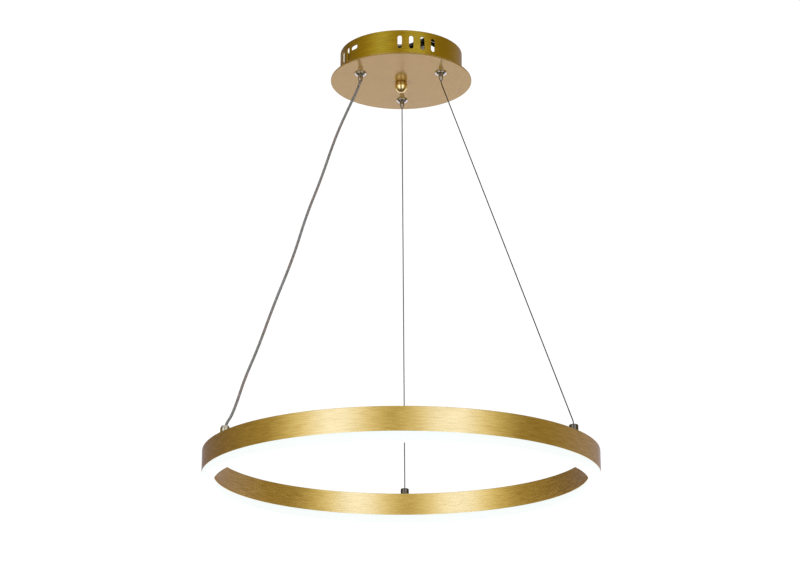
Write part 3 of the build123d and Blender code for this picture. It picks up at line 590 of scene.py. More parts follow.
for place in ("right", "far"):
    route = tail_route(place)
    node = f"cable_tail_{place}"
    tail, tail_line = add_rope(f"rope_tail_{place}", route, outward(place), TAIL_LENGTH, node)
    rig.cord(
        tail, exit=tail_line[0], length=TAIL_LENGTH, diameter=2 * STEEL_R, far_end="bare",
        stiffness="stiff", lay="loose", path=tail_line,
    )

# %% [markdown]
# ## Turned pieces
#
# The ring, the plate, the fittings and the finial all come off a lathe or a rolling machine, so each
# is one outline turned about an upright axis. Real edges are never sharp: each corner of an outline
# is cut by a small bend, with a guard point on either side that keeps the flats flat in the light.

# %% Outline helpers
GUARD = 1.4


def rectangle(left, right, base, top):
    """Corners of an upright rectangle, anticlockwise."""
    return np.array([(left, base), (right, base), (right, top), (left, top)])


def bent(first, pull, last, steps):
    """Smooth bend: (1-s)^2 first + 2s(1-s) pull + s^2 last, for shares s from 0 to 1."""
    share = np.linspace(0, 1, steps)[:, None]
    return (1 - share) ** 2 * first + 2 * share * (1 - share) * pull + share**2 * last


def eased(corners, cut, steps=4):
    """Outline with a small bend at each corner, and a guard point on either side of it.

    A bend starts and ends a cut away along the two runs of its corner, or a third of a short run. The
    guards lie a little further off, at GUARD times the cut.
    """
    corners = np.asarray(corners, float)
    runs = [np.roll(corners, step, axis=0) - corners for step in (1, -1)]
    lengths = [np.linalg.norm(run, axis=1) for run in runs]
    cut = np.minimum(cut, np.minimum(*lengths) / 3)
    offsets = [run * (cut / length)[:, None] for run, length in zip(runs, lengths)]
    before, after = ((corners + offset)[:, None] for offset in offsets)
    guard_in, guard_out = ((corners + GUARD * offset)[:, None] for offset in offsets)
    bend = bent(before, corners[:, None], after, steps + 1)
    return np.concatenate([guard_in, bend, guard_out], axis=1).reshape(-1, 2)


def arc(centre, radius, start, end, steps):
    """Points of a circle: centre + radius times cosine and sine of angles in degrees."""
    angle = np.radians(np.linspace(start, end, steps))
    return np.column_stack([centre[0] + radius * np.cos(angle), centre[1] + radius * np.sin(angle)])


def turned(outline, centre, segments, hollow=False):
    """Points and faces of a closed outline turned about an upright axis.

    x = centre + r cos(turn), y = centre + r sin(turn), z = height. The outline runs anticlockwise so
    that faces point out of the material, and the other way round where it bounds a hollow.
    """
    r, z = np.asarray(outline).T
    if (np.sum(r * np.roll(z, -1) - np.roll(r, -1) * z) < 0) != hollow:
        r, z = r[::-1], z[::-1]
    turn = np.linspace(0, 2 * np.pi, segments, endpoint=False)
    x = centre[0] + r[:, None] * np.cos(turn)
    y = centre[1] + r[:, None] * np.sin(turn)
    points = np.stack([x, y, np.broadcast_to(z[:, None], x.shape)], axis=-1)
    along = distance_along(np.column_stack([r, z]))
    uv = grid_uv(along, segments, close_rows=True)
    return points, grid_faces(len(r), segments, close_rows=True), uv


def add_turned(name, outlines, centre=(0, 0), segments=96):
    """One piece of turned outlines: the first bounds the material, the rest are hollows in it."""
    shells = [turned(outline, centre, segments, index > 0) for index, outline in enumerate(outlines)]
    points, faces = joined([shell[:2] for shell in shells])
    return add_mesh(name, points, faces, np.vstack([shell[2] for shell in shells]))


# %% [markdown]
# ## Ring and opal lip
#
# The ring is an aluminium channel rolled into a circle: two walls, a roof and a shelf, with a closed
# channel for the cable ends above the shelf. The opal lip snaps in from below and glows. Turning the
# real section gives the closed channel as a hollow of its own.

# %% Ring housing
RING_WIDTH = 12 * MM
RING_WALL = 1.2 * MM
RING_ROOF = 1.6 * MM
CHANNEL_HEIGHT = 6 * MM
RING_SHELF = 1.2 * MM
BEAD = 0.6 * MM
BEAD_LIFT = 5 * MM
BEAD_HEIGHT = 0.8 * MM
RING_SEGMENTS = 480
RING_EASE = 0.3 * MM
ring_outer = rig.box("ring_housing")[1][0]
ring_inner = ring_outer - RING_WIDTH
_, ring_base, ring_top = middle("ring_housing")
channel_roof = ring_top - RING_ROOF
shelf_top = channel_roof - CHANNEL_HEIGHT
bead_base = ring_base + BEAD_LIFT
bead_top = bead_base + BEAD_HEIGHT
bead_depth = RING_WALL + BEAD


def both_sides(half):
    """Closed outline from one half, in depths from the ring's inner face, and its mirror image."""
    depth, z = np.array(half).T
    return np.vstack([
        np.column_stack([ring_inner + depth, z]), np.column_stack([ring_outer - depth, z])[::-1],
    ])


housing = both_sides([
    (0, ring_top), (0, ring_base), (RING_WALL, ring_base), (RING_WALL, bead_base),
    (bead_depth, bead_base), (bead_depth, bead_top), (RING_WALL, bead_top),
    (RING_WALL, shelf_top - RING_SHELF),
])
channel = both_sides([(RING_WALL, channel_roof), (RING_WALL, shelf_top)])
ring_outlines = [eased(housing, RING_EASE, steps=3), eased(channel, RING_EASE, steps=2)]
ring_shell = add_turned("ring_shell", ring_outlines, segments=RING_SEGMENTS)
dress(ring_shell, "ring", "ring_gold", "ring_housing")

# %% Opal lip
LIP_ROUND = 1.5 * MM
STEM_GAP = 0.1 * MM
STEM_WALL = 1.5 * MM
LIP_FLOOR = 1.8 * MM
LIP_EASE = 0.15 * MM
_, lip_base, stem_top = middle("diffuser")
stem = RING_WALL + STEM_GAP
hollow = stem + STEM_WALL
notch_base, notch_top = bead_base - STEM_GAP, bead_top + STEM_GAP
lip = both_sides([
    (hollow, lip_base + LIP_FLOOR), (hollow, stem_top), (stem, stem_top), (stem, notch_top),
    (stem + BEAD, notch_top), (stem + BEAD, notch_base), (stem, notch_base), (stem, ring_base),
    (0, ring_base), (0, lip_base),
])
lip_cuts = np.where(lip[:, 1] == lip_base, LIP_ROUND, LIP_EASE)
opal_lip = add_turned("opal_lip", [eased(lip, lip_cuts, steps=3)], segments=RING_SEGMENTS)
dress(opal_lip, "ring", "opal_diffuser", "diffuser")

# %% [markdown]
# ## Canopy plate and finial
#
# The plate is a plain turned disc with a soft rim. The finial is a ball nut: the lower half is a half
# circle, and above it the side draws in on a longer arc to a narrower neck against the plate.

# %% Plate and finial
PLATE_HOLE_R = 3.3 * MM
PLATE_EASE = 0.45 * MM
PLATE_SEGMENTS = 288
plate_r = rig.box("canopy_disc")[1][0]
plate_outline = eased(rectangle(PLATE_HOLE_R, plate_r, plate_base, disc_top_z), PLATE_EASE, steps=5)
plate = add_turned("canopy_plate", [plate_outline], segments=PLATE_SEGMENTS)
dress(plate, "canopy", "satin_champagne", "canopy_disc")

FINIAL_NECK_R = 6 * MM
FINIAL_BORE_R = 3.1 * MM
FINIAL_TIP = 2.8 * MM
BALL_STEPS = 25
SIDE_STEPS = 9
finial_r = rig.box("finial_nut")[1][0]
finial_tip_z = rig.box("finial_nut")[0][2]
ball_z = finial_tip_z + finial_r
bore_z = finial_tip_z + FINIAL_TIP
drop = plate_base - ball_z
side_r = (drop**2 / (finial_r - FINIAL_NECK_R) + finial_r - FINIAL_NECK_R) / 2
side_half = math.degrees(math.asin(drop / side_r))
finial_outline = np.vstack([
    arc((0, ball_z), finial_r, -90, 0, BALL_STEPS),
    arc((finial_r - side_r, ball_z), side_r, 0, side_half, SIDE_STEPS)[1:],
    [(FINIAL_BORE_R, plate_base), (FINIAL_BORE_R, bore_z), (0, bore_z)],
])
finial = add_turned("finial_ball", [finial_outline])
dress(finial, "finial", "polished_brass", "finial_nut")

# %% [markdown]
# ## Drum with slots
#
# The drum is a strip of sheet, punched with slots and rolled. A boolean would cut the slots, but it
# leaves ragged cells that show in a brushed finish. Here each slot has a patch of its own, whose cells
# run straight from its border to the slot. Plain grids fill the rest, the whole strip is rolled, and
# Solidify gives it the sheet's gauge.

# %% Slotted strip
DRUM_WALL = 1 * MM
SLOT_WIDTH = 4.5 * MM
SLOT_LENGTH = 14.5 * MM
SLOT_TOP = 6 * MM
SLOT_PITCH = 10.7
SLOTS_IN_GROUP = 4
SLOT_GROUP_ANGLE = 285.9
SIDE_SLOT_LENGTH = 10 * MM
SIDE_SLOT_Z = -9.5 * MM
SIDE_SLOT_ANGLE = 221.7
SIDE_PATCH_START = 215.6
SIDE_PATCH_END = 228
HEIGHT_CELLS = 16
WIDTH_CELLS = 8
SLOT_ROWS = 7
drum_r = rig.box("canopy_drum")[1][0]
_, drum_base, drum_top = middle("canopy_drum")
arc_per_degree = drum_r * math.pi / 180


def slot_patch(left, right, slot_angle, slot_z, half_upright, half_lying):
    """Cells round one slot, in distance round the drum and height.

    Border point b, nearest point m of the slot's middle line, edge e = m + half width * (b-m)/|b-m|.
    The rows go from the border to the edge: b + s (e-b).
    """
    corners = rectangle(left * arc_per_degree, right * arc_per_degree, drum_base, drum_top)
    counts = (WIDTH_CELLS, HEIGHT_CELLS, WIDTH_CELLS, HEIGHT_CELLS)
    sides = zip(corners, np.roll(corners, -1, axis=0), counts)
    border = np.vstack([np.linspace(*side, endpoint=False) for side in sides])
    centre = np.array([slot_angle * arc_per_degree, slot_z])
    reach = np.array([half_lying, half_upright])
    line = centre + np.clip(border - centre, -reach, reach)
    away = border - line
    edge = line + SLOT_WIDTH / 2 * away / np.linalg.norm(away, axis=1)[:, None]
    rows = np.linspace(0, 1, SLOT_ROWS)[:, None, None]
    return border + rows * (edge - border), grid_faces(len(rows), len(border))


def plain_patch(left, right):
    """Plain cells between two angles, in distance round the drum and height."""
    count = max(2, round((right - left) / (SLOT_PITCH / WIDTH_CELLS))) + 1
    around = np.linspace(left, right, count) * arc_per_degree
    height = np.linspace(drum_base, drum_top, HEIGHT_CELLS + 1)
    flat = np.stack(np.meshgrid(around, height), axis=-1)
    return flat, grid_faces(len(height), count, close_columns=False)


def strip_patches():
    """Four groups of upright slots, two lying slots and the plain stretches between them."""
    upright = (SLOT_LENGTH - SLOT_WIDTH) / 2
    lying = (SIDE_SLOT_LENGTH - SLOT_WIDTH) / 2
    slot_z = drum_top - SLOT_TOP - SLOT_LENGTH / 2
    for turn in (0, 90, 180, 270):
        start = SLOT_GROUP_ANGLE - SLOTS_IN_GROUP / 2 * SLOT_PITCH + turn
        borders = start + SLOT_PITCH * np.arange(SLOTS_IN_GROUP + 1)
        slots = (borders[1:] + borders[:-1]) / 2
        plain_start = borders[-1]
        if turn in (90, 270):
            side_turn = turn + 90
            borders[-1] = SIDE_PATCH_START + side_turn
            plain_start = SIDE_PATCH_END + side_turn
            yield slot_patch(borders[-1], plain_start, SIDE_SLOT_ANGLE + side_turn, SIDE_SLOT_Z, 0, lying)
        for left, right, slot in zip(borders, borders[1:], slots):
            yield slot_patch(left, right, slot, slot_z, upright, 0)
        yield plain_patch(plain_start, start + 90)


strip, strip_cells = joined(list(strip_patches()))
strip_turn = strip[:, 0] / drum_r
rolled = np.column_stack([drum_r * np.cos(strip_turn), drum_r * np.sin(strip_turn), strip[:, 1]])
print("strip points:", len(rolled))

# %% Drum wall and foot
FOOT_WIDTH = 4 * MM
FOOT_SEGMENTS = 240
SHEET_EASE = 0.15 * MM
SHARP_ANGLE = math.radians(50)
drum_wall = add_mesh("drum_wall", rolled, strip_cells, strip[strip_cells].reshape(-1, 2))
gauge = drum_wall.modifiers.new("gauge", "SOLIDIFY")
gauge.thickness = DRUM_WALL
gauge.offset = -1
edges = drum_wall.modifiers.new("edges", "BEVEL")
edges.width = SHEET_EASE
edges.segments = 2
edges.limit_method = "ANGLE"
edges.angle_limit = SHARP_ANGLE
edges.harden_normals = True
dress(drum_wall, "canopy", "brushed_gold", "canopy_drum")

foot_outer = drum_r - DRUM_WALL
foot = rectangle(foot_outer - FOOT_WIDTH, foot_outer, drum_base, drum_base + DRUM_WALL)
drum_foot = add_turned("drum_foot", [eased(foot, SHEET_EASE)], segments=FOOT_SEGMENTS)
dress(drum_foot, "canopy", "brushed_gold")

# %% [markdown]
# ## Cable grips
#
# Each cable leaves the plate through a grip: a domed flange, a barrel above it and a nozzle below.
# Pressing the nozzle of a steel rope's grip lifts three balls out of a taper and frees the rope. The
# shells are turned with their real taper, so the nozzles slide in them with the real clearance.

# %% Grip shells and nozzles
FLANGE_R = 6.3 * MM
FLANGE_RIM = 1.3 * MM
MOUTH_R = 3.2 * MM
DOME_PULL = 0.24 * MM
BARREL_R = 4 * MM
CHAMBER_R = 3.3 * MM
NOZZLE_R = 2.5 * MM
NOZZLE_GAP = 0.1 * MM
ROPE_BORE_R = 0.9 * MM
CORD_BORE_R = 1.55 * MM
TAPER_START = 8 * MM
TAPER_HEIGHT = 6 * MM
HEAD_R = 2.75 * MM
HEAD_HEIGHT = 1 * MM
TIP_TAPER = 3.6 * MM
TIP_WALL = 0.6 * MM
NOZZLE_EASE = 0.35 * MM
RIM_START = -60
RIM_END = 90
RIM_STEPS = 11
DOME_STEPS = 14


def grip_outline(base, top):
    """Domed flange with a round rim, barrel and tapered bore."""
    bore = NOZZLE_R + NOZZLE_GAP
    rim_r = FLANGE_RIM / 2
    rim = arc((FLANGE_R - rim_r, plate_base - rim_r), rim_r, RIM_START, RIM_END, RIM_STEPS)
    mouth = np.array([MOUTH_R, base])
    dome = bent(mouth, (mouth + rim[0]) / 2 + (DOME_PULL, -DOME_PULL), rim[0], DOME_STEPS)
    rest = [
        (BARREL_R, plate_base), (BARREL_R, top), (CHAMBER_R, top),
        (CHAMBER_R, base + TAPER_START + TAPER_HEIGHT), (bore, base + TAPER_START), (bore, base),
    ]
    return np.vstack([dome, rim[1:], rest])


def nozzle_outline(bore, tip, head):
    """Tapered tip round a bore, then a plain shaft up to the corners of its head."""
    return eased([(bore, tip), (bore + TIP_WALL, tip), (NOZZLE_R, tip + TIP_TAPER), *head], NOZZLE_EASE)


for place, node in GRIP_NODES.items():
    centre, base, top = middle(node)
    shell = add_turned(f"grip_shell_{place}", [grip_outline(base, top)], centre)
    dress(shell, "canopy", "chrome", node)

for place in ("right", "far"):
    centre, tip, top = middle(f"grip_plunger_{place}")
    neck = top - HEAD_HEIGHT
    head = [(NOZZLE_R, neck), (HEAD_R, neck), (HEAD_R, top), (ROPE_BORE_R, top)]
    nozzle = add_turned(f"nozzle_{place}", [nozzle_outline(ROPE_BORE_R, tip, head)], centre)
    dress(nozzle, f"plunger_{place}", "chrome", f"grip_plunger_{place}")

centre, tip, top = middle("cord_grip_nozzle")
head = [(NOZZLE_R, top), (CORD_BORE_R, top)]
nozzle = add_turned("nozzle_left", [nozzle_outline(CORD_BORE_R, tip, head)], centre)
dress(nozzle, "cord_nozzle", "chrome", "cord_grip_nozzle")

# %% [markdown]
# Over each plunger sits a small coil spring. Its wire is a tube along a helix, an arc of four turns
# that rises steadily, and it shortens towards the cap above it as the plunger goes up.

# %% Plunger springs
SPRING_R = 2.3 * MM
SPRING_WIRE_R = 0.25 * MM
SPRING_TURNS = 4
SPRING_SIDES = 10
STEPS_PER_TURN = 48
PLUNGER_TRAVEL = 2 * MM
for place in ("right", "far"):
    centre = outward(place)[:2] * grip_r
    _, low, high = middle(f"grip_spring_{place}")
    cap_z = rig.box(f"grip_cap_{place}")[0][2]
    turns = arc(centre, SPRING_R, 0, 360 * SPRING_TURNS, STEPS_PER_TURN * SPRING_TURNS + 1)
    heights = np.linspace(low + SPRING_WIRE_R, high - SPRING_WIRE_R, len(turns))
    wire = np.column_stack([turns, heights])
    spring = add_tube(f"spring_{place}", wire, UP, SPRING_WIRE_R, sides=SPRING_SIDES)
    dress(spring, "canopy", "bright_steel", f"grip_spring_{place}")
    head_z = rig.box(f"grip_plunger_{place}")[1][2]
    keep = 1 - PLUNGER_TRAVEL / (cap_z - head_z)
    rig.squash(spring, f"release_{place}", axis=(0, 0, 1), anchor=(0, 0, cap_z), keep=keep)

# %% [markdown]
# Above the power cable's grip its jacket ends, and two thin cores go over to the driver.

# %% Power stub and output cores
STUB_STEP = 2 * MM
OUTPUT_R = 0.6 * MM
OUTPUT_STEP = 0.6 * MM
OUTPUT_RISE = 7 * MM
OUTPUT_ENTRY_HEIGHT = 10.5 * MM
OUTPUTS = {"a": (-0.75 * MM, ["output_leads"]), "b": (0.75 * MM, [])}
grip_left, _, grip_top = middle("cord_grip_body")
_, stub_low, stub_high = middle("power_cable_tail")
stub_route = np.array([(*grip_left, height) for height in np.linspace(stub_low, stub_high, 3)])
stub_line = spline_line(stub_route, STUB_STEP)
stub = add_tube("power_stub", stub_line, (1, 0, 0), POWER_R, sides=POWER_SIDES)
dress(stub, "canopy", "clear_jacket", "power_cable_tail")

driver_end_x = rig.box("driver_case")[0][0]
drop_x = (grip_left[0] + BARREL_R + driver_end_x) / 2
over_z = grip_top + OUTPUT_RISE
entry_z = disc_top_z + OUTPUT_ENTRY_HEIGHT
output_stops = np.array([
    (grip_left[0], stub_high), (grip_left[0], over_z), (drop_x, over_z), (drop_x, entry_z),
    (driver_end_x, entry_z),
])
for letter, (shift, nodes) in OUTPUTS.items():
    output_line = spline_line(np.insert(output_stops, 1, grip_left[1] + shift, axis=1), OUTPUT_STEP)
    core = add_tube(f"output_core_{letter}", output_line, (0, 1, 0), OUTPUT_R)
    dress(core, "canopy", "white_lead", *nodes)

# %% [markdown]
# ## Terminals on the ring
#
# Two dark caps hold the crimped rope ends, and a tapered gland lets the power cable in. They are
# turned like the grips.

# %% Terminals
STUD_R = 2.5 * MM
CROWN_DROP = 0.8 * MM
CAP_ROOF = 1.5 * MM
CAP_CHAMFER = 0.7 * MM
GLAND_MOUTH_R = 3.3 * MM
# Height of the slope, radius and depth of the bell, radius of the bore and size of the bends
CAP_SHAPE = (CAP_CHAMFER, 1.4 * MM, 0.5 * MM, ROPE_BORE_R, 0.2 * MM)
GLAND_SHAPE = (2.4 * MM, 2.3 * MM, 1.2 * MM, CORD_BORE_R, 0.25 * MM)


def add_terminal(name, node, mouth_r, seat, shape):
    """Cap that sits on a stud at a level: plain side, slope to the mouth, bell and bore."""
    slope, bell_r, bell_depth, bore, ease = shape
    centre, base, top = middle(node)
    radius = half_width(node)
    crown = top - CROWN_DROP
    outline = eased([
        (STUD_R, base), (radius, base), (radius, crown - slope), (mouth_r, crown), (bell_r, crown),
        (bore, crown - bell_depth), (bore, seat), (STUD_R, seat),
    ], ease)
    dress(add_turned(name, [outline], centre), "ring", "dark_chrome", node)


for place in ("right", "far"):
    node = f"terminal_cap_{place}"
    mouth_r = half_width(node) - CAP_CHAMFER
    add_terminal(f"terminal_{place}", node, mouth_r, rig.box(node)[1][2] - CAP_ROOF, CAP_SHAPE)
gland_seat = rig.box("power_gland_stud")[1][2]
add_terminal("gland_left", "power_gland_cap", GLAND_MOUTH_R, gland_seat, GLAND_SHAPE)

# %% [markdown]
# ## Finishes
#
# Each finish is one material of nodes. Painted pictures could carry the grain, but they blur close
# up and need a map for every piece. So the patterns are noise on Object coordinates, in metres, and
# a stroke of the brush has its real size on every piece.

# %% Node helpers
NOISE_RANGE = (0.3, 0.7)
finishes = {}


def new_finish(name):
    """Node tree and shader of a new material, which is kept among the finishes."""
    material = bpy.data.materials.new(name)
    material.use_nodes = True
    finishes[name] = material
    return material.node_tree, material.node_tree.nodes["Principled BSDF"]


def fill(tree, node, inputs):
    """Fill a node's inputs, by name or number: a socket is linked, and a constant is set."""
    for key, value in inputs.items():
        if isinstance(value, bpy.types.NodeSocket):
            tree.links.new(value, node.inputs[key])
        else:
            node.inputs[key].default_value = value


def node_on(tree, kind, inputs, **settings):
    """Outputs of a new node of a kind, with its settings and its inputs filled."""
    node = tree.nodes.new(f"ShaderNode{kind}")
    for key, value in settings.items():
        setattr(node, key, value)
    fill(tree, node, inputs)
    return node.outputs


def noise_on(tree, vector, scale, detail, roughness=0.55):
    """Noise on a vector socket, as a number about a half."""
    inputs = {"Vector": vector, "Scale": scale, "Detail": detail, "Roughness": roughness}
    return node_on(tree, "TexNoise", inputs)["Fac"]


def ramp_on(tree, factor, places, colours):
    """Colour from a number, through colours at places from 0 to 1."""
    ramp = tree.nodes.new("ShaderNodeValToRGB")
    elements = ramp.color_ramp.elements
    while len(elements) < len(places):
        elements.new(0.5)
    for element, place, colour in zip(elements, places, colours):
        element.position = place
        element.color = (*colour, 1)
    fill(tree, ramp, {"Fac": factor})
    return ramp.outputs["Color"]


def range_on(tree, factor, low, high, limits=NOISE_RANGE, kind="LINEAR"):
    """Number between two limits, stretched to low and high."""
    inputs = {"Value": factor, "From Min": limits[0], "From Max": limits[1], "To Min": low, "To Max": high}
    return node_on(tree, "MapRange", inputs, interpolation_type=kind)["Result"]


def number_on(tree, operation, *inputs):
    """Number worked out from sockets and constants."""
    return node_on(tree, "Math", dict(enumerate(inputs)), operation=operation)[0]


def vector_on(tree, operation, *inputs):
    """Vector or colour worked out from sockets and constants."""
    return node_on(tree, "VectorMath", dict(enumerate(inputs)), operation=operation)["Vector"]


def bump_on(tree, height, depth, strength):
    """Bent normals of a relief of a depth in metres."""
    return node_on(tree, "Bump", {"Height": height, "Distance": depth, "Strength": strength})["Normal"]


def place_on(tree):
    """Place on the object, in metres."""
    return node_on(tree, "TexCoord", {})["Object"]


# %% [markdown]
# ### Brushed gold
#
# The ring and the drum are brushed round their axis with short fine strokes. Noise is stretched along
# the brush: x and y are scaled a little, and the sum of the height and the distance from the axis is
# scaled a lot. On a wall the height changes and on a roof the distance does, so the strokes run round
# on both. The shader's gloss is stretched across the strokes, as real fine grooves do.

# %% Brushed metals
BRUSH_ALONG = 75
BRUSH_ACROSS = 1150
BRUSH_DETAIL = 4
BRUSH_ROUGHNESS = 0.5
BRUSH_RELIEF = 0.5
BRUSH_PLACES = (0.36, 0.5, 0.64)
QUARTER_TURN = 0.25
LACQUER_ROUGHNESS = 0.25


def brush_on(tree):
    """Coordinates for strokes round the lamp: (x along, y along, (z + distance from axis) across)."""
    place = place_on(tree)
    x, y, z = node_on(tree, "SeparateXYZ", {0: place})
    flat = vector_on(tree, "MULTIPLY", place, (1, 1, 0))
    distance = node_on(tree, "VectorMath", {0: flat}, operation="LENGTH")["Value"]
    strokes = node_on(tree, "CombineXYZ", {0: x, 1: y, 2: number_on(tree, "ADD", distance, z)})
    return vector_on(tree, "MULTIPLY", strokes[0], (BRUSH_ALONG, BRUSH_ALONG, BRUSH_ACROSS))


def brushed_metal(name, colours, roughness, depth, stretch, lacquer):
    """Metal with strokes: colour, roughness and relief all follow the same stretched noise."""
    tree, shader = new_finish(name)
    strokes = noise_on(tree, brush_on(tree), 1, BRUSH_DETAIL, BRUSH_ROUGHNESS)
    tangent = node_on(tree, "Tangent", {}, direction_type="UV_MAP", uv_map="surface")
    fill(tree, shader, {
        "Base Color": ramp_on(tree, strokes, BRUSH_PLACES, colours),
        "Roughness": range_on(tree, strokes, *roughness),
        "Normal": bump_on(tree, strokes, depth, BRUSH_RELIEF),
        "Tangent": tangent[0], "Anisotropic": stretch, "Anisotropic Rotation": QUARTER_TURN,
        "Metallic": 1, "Coat Weight": lacquer, "Coat Roughness": LACQUER_ROUGHNESS,
    })


brushed_metal(
    "ring_gold", colours=((0.74, 0.56, 0.24), (0.865, 0.665, 0.305), (0.97, 0.76, 0.37)),
    roughness=(0.20, 0.29), depth=0.04 * MM, stretch=0.5, lacquer=0.1,
)
brushed_metal(
    "brushed_gold", colours=((0.63, 0.445, 0.016), (0.69, 0.488, 0.019), (0.75, 0.53, 0.023)),
    roughness=(0.21, 0.27), depth=0.03 * MM, stretch=0.3, lacquer=0.7,
)
print("brushed:", *finishes)

# %% [markdown]
# ### Plain metals and plastics
#
# The plate wears a thin satin coat that half mirrors the room, so it is metal only in part. The
# finial is polished and the fittings are plated. The nozzles are chrome like their shells, but their
# finish is chrome painted darker and gold: a painted reflection of the gold plate above them.
# The gland is in a brighter chrome. Moulded plastic has a deeper grain. Each could have nodes of its
# own, but all follow one recipe, so each is a row of a table: two colours that slow noise mixes, two
# roughnesses that fine noise mixes, patches in a metre, and the depth of the grain in millimetres.

# %% Plain metals and plastics
METALS = {
    "satin_champagne": ((0.398, 0.245, 0.063), (0.416, 0.257, 0.069), (0.15, 0.19), 60, 0.004),
    "polished_brass": ((0.88, 0.69, 0.34), (0.92, 0.73, 0.38), (0.14, 0.18), 80, 0.002),
    "chrome": ((0.64, 0.64, 0.67), (0.72, 0.72, 0.75), (0.04, 0.08), 120, 0.002),
    "dark_chrome": ((0.11, 0.1, 0.09), (0.15, 0.135, 0.12), (0.06, 0.12), 120, 0.003),
    "gland_chrome": ((0.46, 0.43, 0.37), (0.52, 0.48, 0.41), (0.06, 0.1), 120, 0.002),
    # Nozzle finish: chrome painted darker and gold, a painted reflection of the plate
    "nozzle_nickel": ((0.33, 0.28, 0.21), (0.39, 0.33, 0.25), (0.06, 0.11), 120, 0.002),
    # bright_steel is far darker than bare steel: painted shade, for the dim room that the thin ropes mirror
    "bright_steel": ((0.1, 0.1, 0.1), (0.14, 0.137, 0.134), (0.14, 0.24), 200, 0.001),
    "zinc_steel": ((0.52, 0.54, 0.57), (0.66, 0.67, 0.68), (0.26, 0.44), 150, 0.01),
    "copper_strands": ((0.38, 0.32, 0.32), (0.44, 0.37, 0.37), (0.45, 0.6), 200, 0.004),
    "tinned_strands": ((0.34, 0.41, 0.42), (0.42, 0.49, 0.5), (0.45, 0.6), 200, 0.004),
}
PLASTICS = {
    "black_rubber": ((0.012, 0.012, 0.012), (0.022, 0.021, 0.02), (0.6, 0.75), 150, 0.02),
    "white_plastic": ((0.8, 0.8, 0.78), (0.86, 0.86, 0.84), (0.4, 0.55), 90, 0.02),
    "dark_plastic": ((0.02, 0.02, 0.022), (0.04, 0.04, 0.042), (0.4, 0.55), 90, 0.02),
    "circuit_board": ((0.02, 0.11, 0.045), (0.03, 0.17, 0.07), (0.25, 0.4), 300, 0.01),
    "black_lead": ((0.01, 0.01, 0.011), (0.018, 0.018, 0.018), (0.35, 0.5), 200, 0.01),
    "white_lead": ((0.78, 0.78, 0.76), (0.84, 0.84, 0.82), (0.35, 0.5), 200, 0.01),
    "led_chip": ((0.75, 0.62, 0.12), (0.85, 0.74, 0.2), (0.3, 0.45), 400, 0.005),
    "pale_floor": ((0.8, 0.8, 0.79), (0.84, 0.84, 0.83), (0.6, 0.75), 2, 0.1),
}
# Detail of the slow noise, how much finer the grain is, its detail and the strength of its relief
METAL_GRAIN = (3, 40, 2, 0.6)
PLASTIC_GRAIN = (2, 30, 3, 0.5)
COATED = {"satin_champagne": 0.32}


def grained(name, row, metallic, drift_detail, finer, grain_detail, strength):
    """Finish with an even grain: slow noise moves its colour, finer noise its gloss and relief."""
    *colours, roughness, scale, depth_mm = row
    tree, shader = new_finish(name)
    place = place_on(tree)
    drift = noise_on(tree, place, scale, drift_detail)
    grain = noise_on(tree, place, scale * finer, grain_detail)
    fill(tree, shader, {
        "Base Color": ramp_on(tree, drift, NOISE_RANGE, colours),
        "Roughness": range_on(tree, grain, *roughness),
        "Normal": bump_on(tree, grain, depth_mm * MM, strength), "Metallic": metallic,
    })


for name, row in METALS.items():
    grained(name, row, COATED.get(name, 1), *METAL_GRAIN)
for name, row in PLASTICS.items():
    grained(name, row, 0, *PLASTIC_GRAIN)
print("metals:", len(METALS), "plastics:", len(PLASTICS))

# %% [markdown]
# ### Clear jacket and opal light
#
# The jacket of the power cable is hazy soft vinyl: more than half of the light goes through, and the
# colours of the cores shine through it as two soft bands that wind along with them. The opal lip is
# lit from inside. Lamps inside it would need many light paths, so the lip itself gives off a cool
# white, a little stronger at its floor than near the gold edge.

# %% Clear jacket
JACKET_GRAIN = 260
JACKET_DETAIL = 3
JACKET_ROUGHNESS = (0.16, 0.21)
JACKET_PLACES = (0.25, 0.75)
JACKET_COLOURS = ((0.53, 0.565, 0.60), (0.57, 0.505, 0.51))
tree, shader = new_finish("clear_jacket")
haze = noise_on(tree, place_on(tree), JACKET_GRAIN, JACKET_DETAIL)
surface = node_on(tree, "UVMap", {}, uv_map="surface")
turn, along, _ = node_on(tree, "SeparateXYZ", {0: surface[0]})
wound = number_on(tree, "ADD", turn, number_on(tree, "MULTIPLY", along, -1 / CORE_LAY))
facing = number_on(tree, "COSINE", number_on(tree, "MULTIPLY", wound, 2 * math.pi))
shine = range_on(tree, facing, 0, 1, limits=(-1, 1))
fill(tree, shader, {
    "Base Color": ramp_on(tree, shine, JACKET_PLACES, JACKET_COLOURS),
    "Roughness": range_on(tree, haze, *JACKET_ROUGHNESS), "Transmission Weight": 0.6, "IOR": 1.5,
})
print("clear jacket:", len(tree.nodes), "nodes")

# %% Opal lip's light
GLOW_PLACES = (0, 0.55, 1)
GLOW_COLOURS = ((0.89, 0.93, 0.93), (0.885, 0.93, 0.93), (0.84, 0.91, 0.91))
MILK_SCALE = 120
MILK_DETAIL = 2
MILK_COLOURS = ((0.05, 0.05, 0.05), (0.07, 0.07, 0.07))
tree, shader = new_finish("opal_diffuser")
place = place_on(tree)
_, _, height = node_on(tree, "SeparateXYZ", {0: place})
share = range_on(tree, height, 0, 1, limits=(lip_base, ring_base))
milk = noise_on(tree, place, MILK_SCALE, MILK_DETAIL)
fill(tree, shader, {
    "Base Color": ramp_on(tree, milk, NOISE_RANGE, MILK_COLOURS), "Roughness": 0.5,
    "Emission Color": ramp_on(tree, share, GLOW_PLACES, GLOW_COLOURS), "Emission Strength": 1,
})
print("opal light:", len(tree.nodes), "nodes")
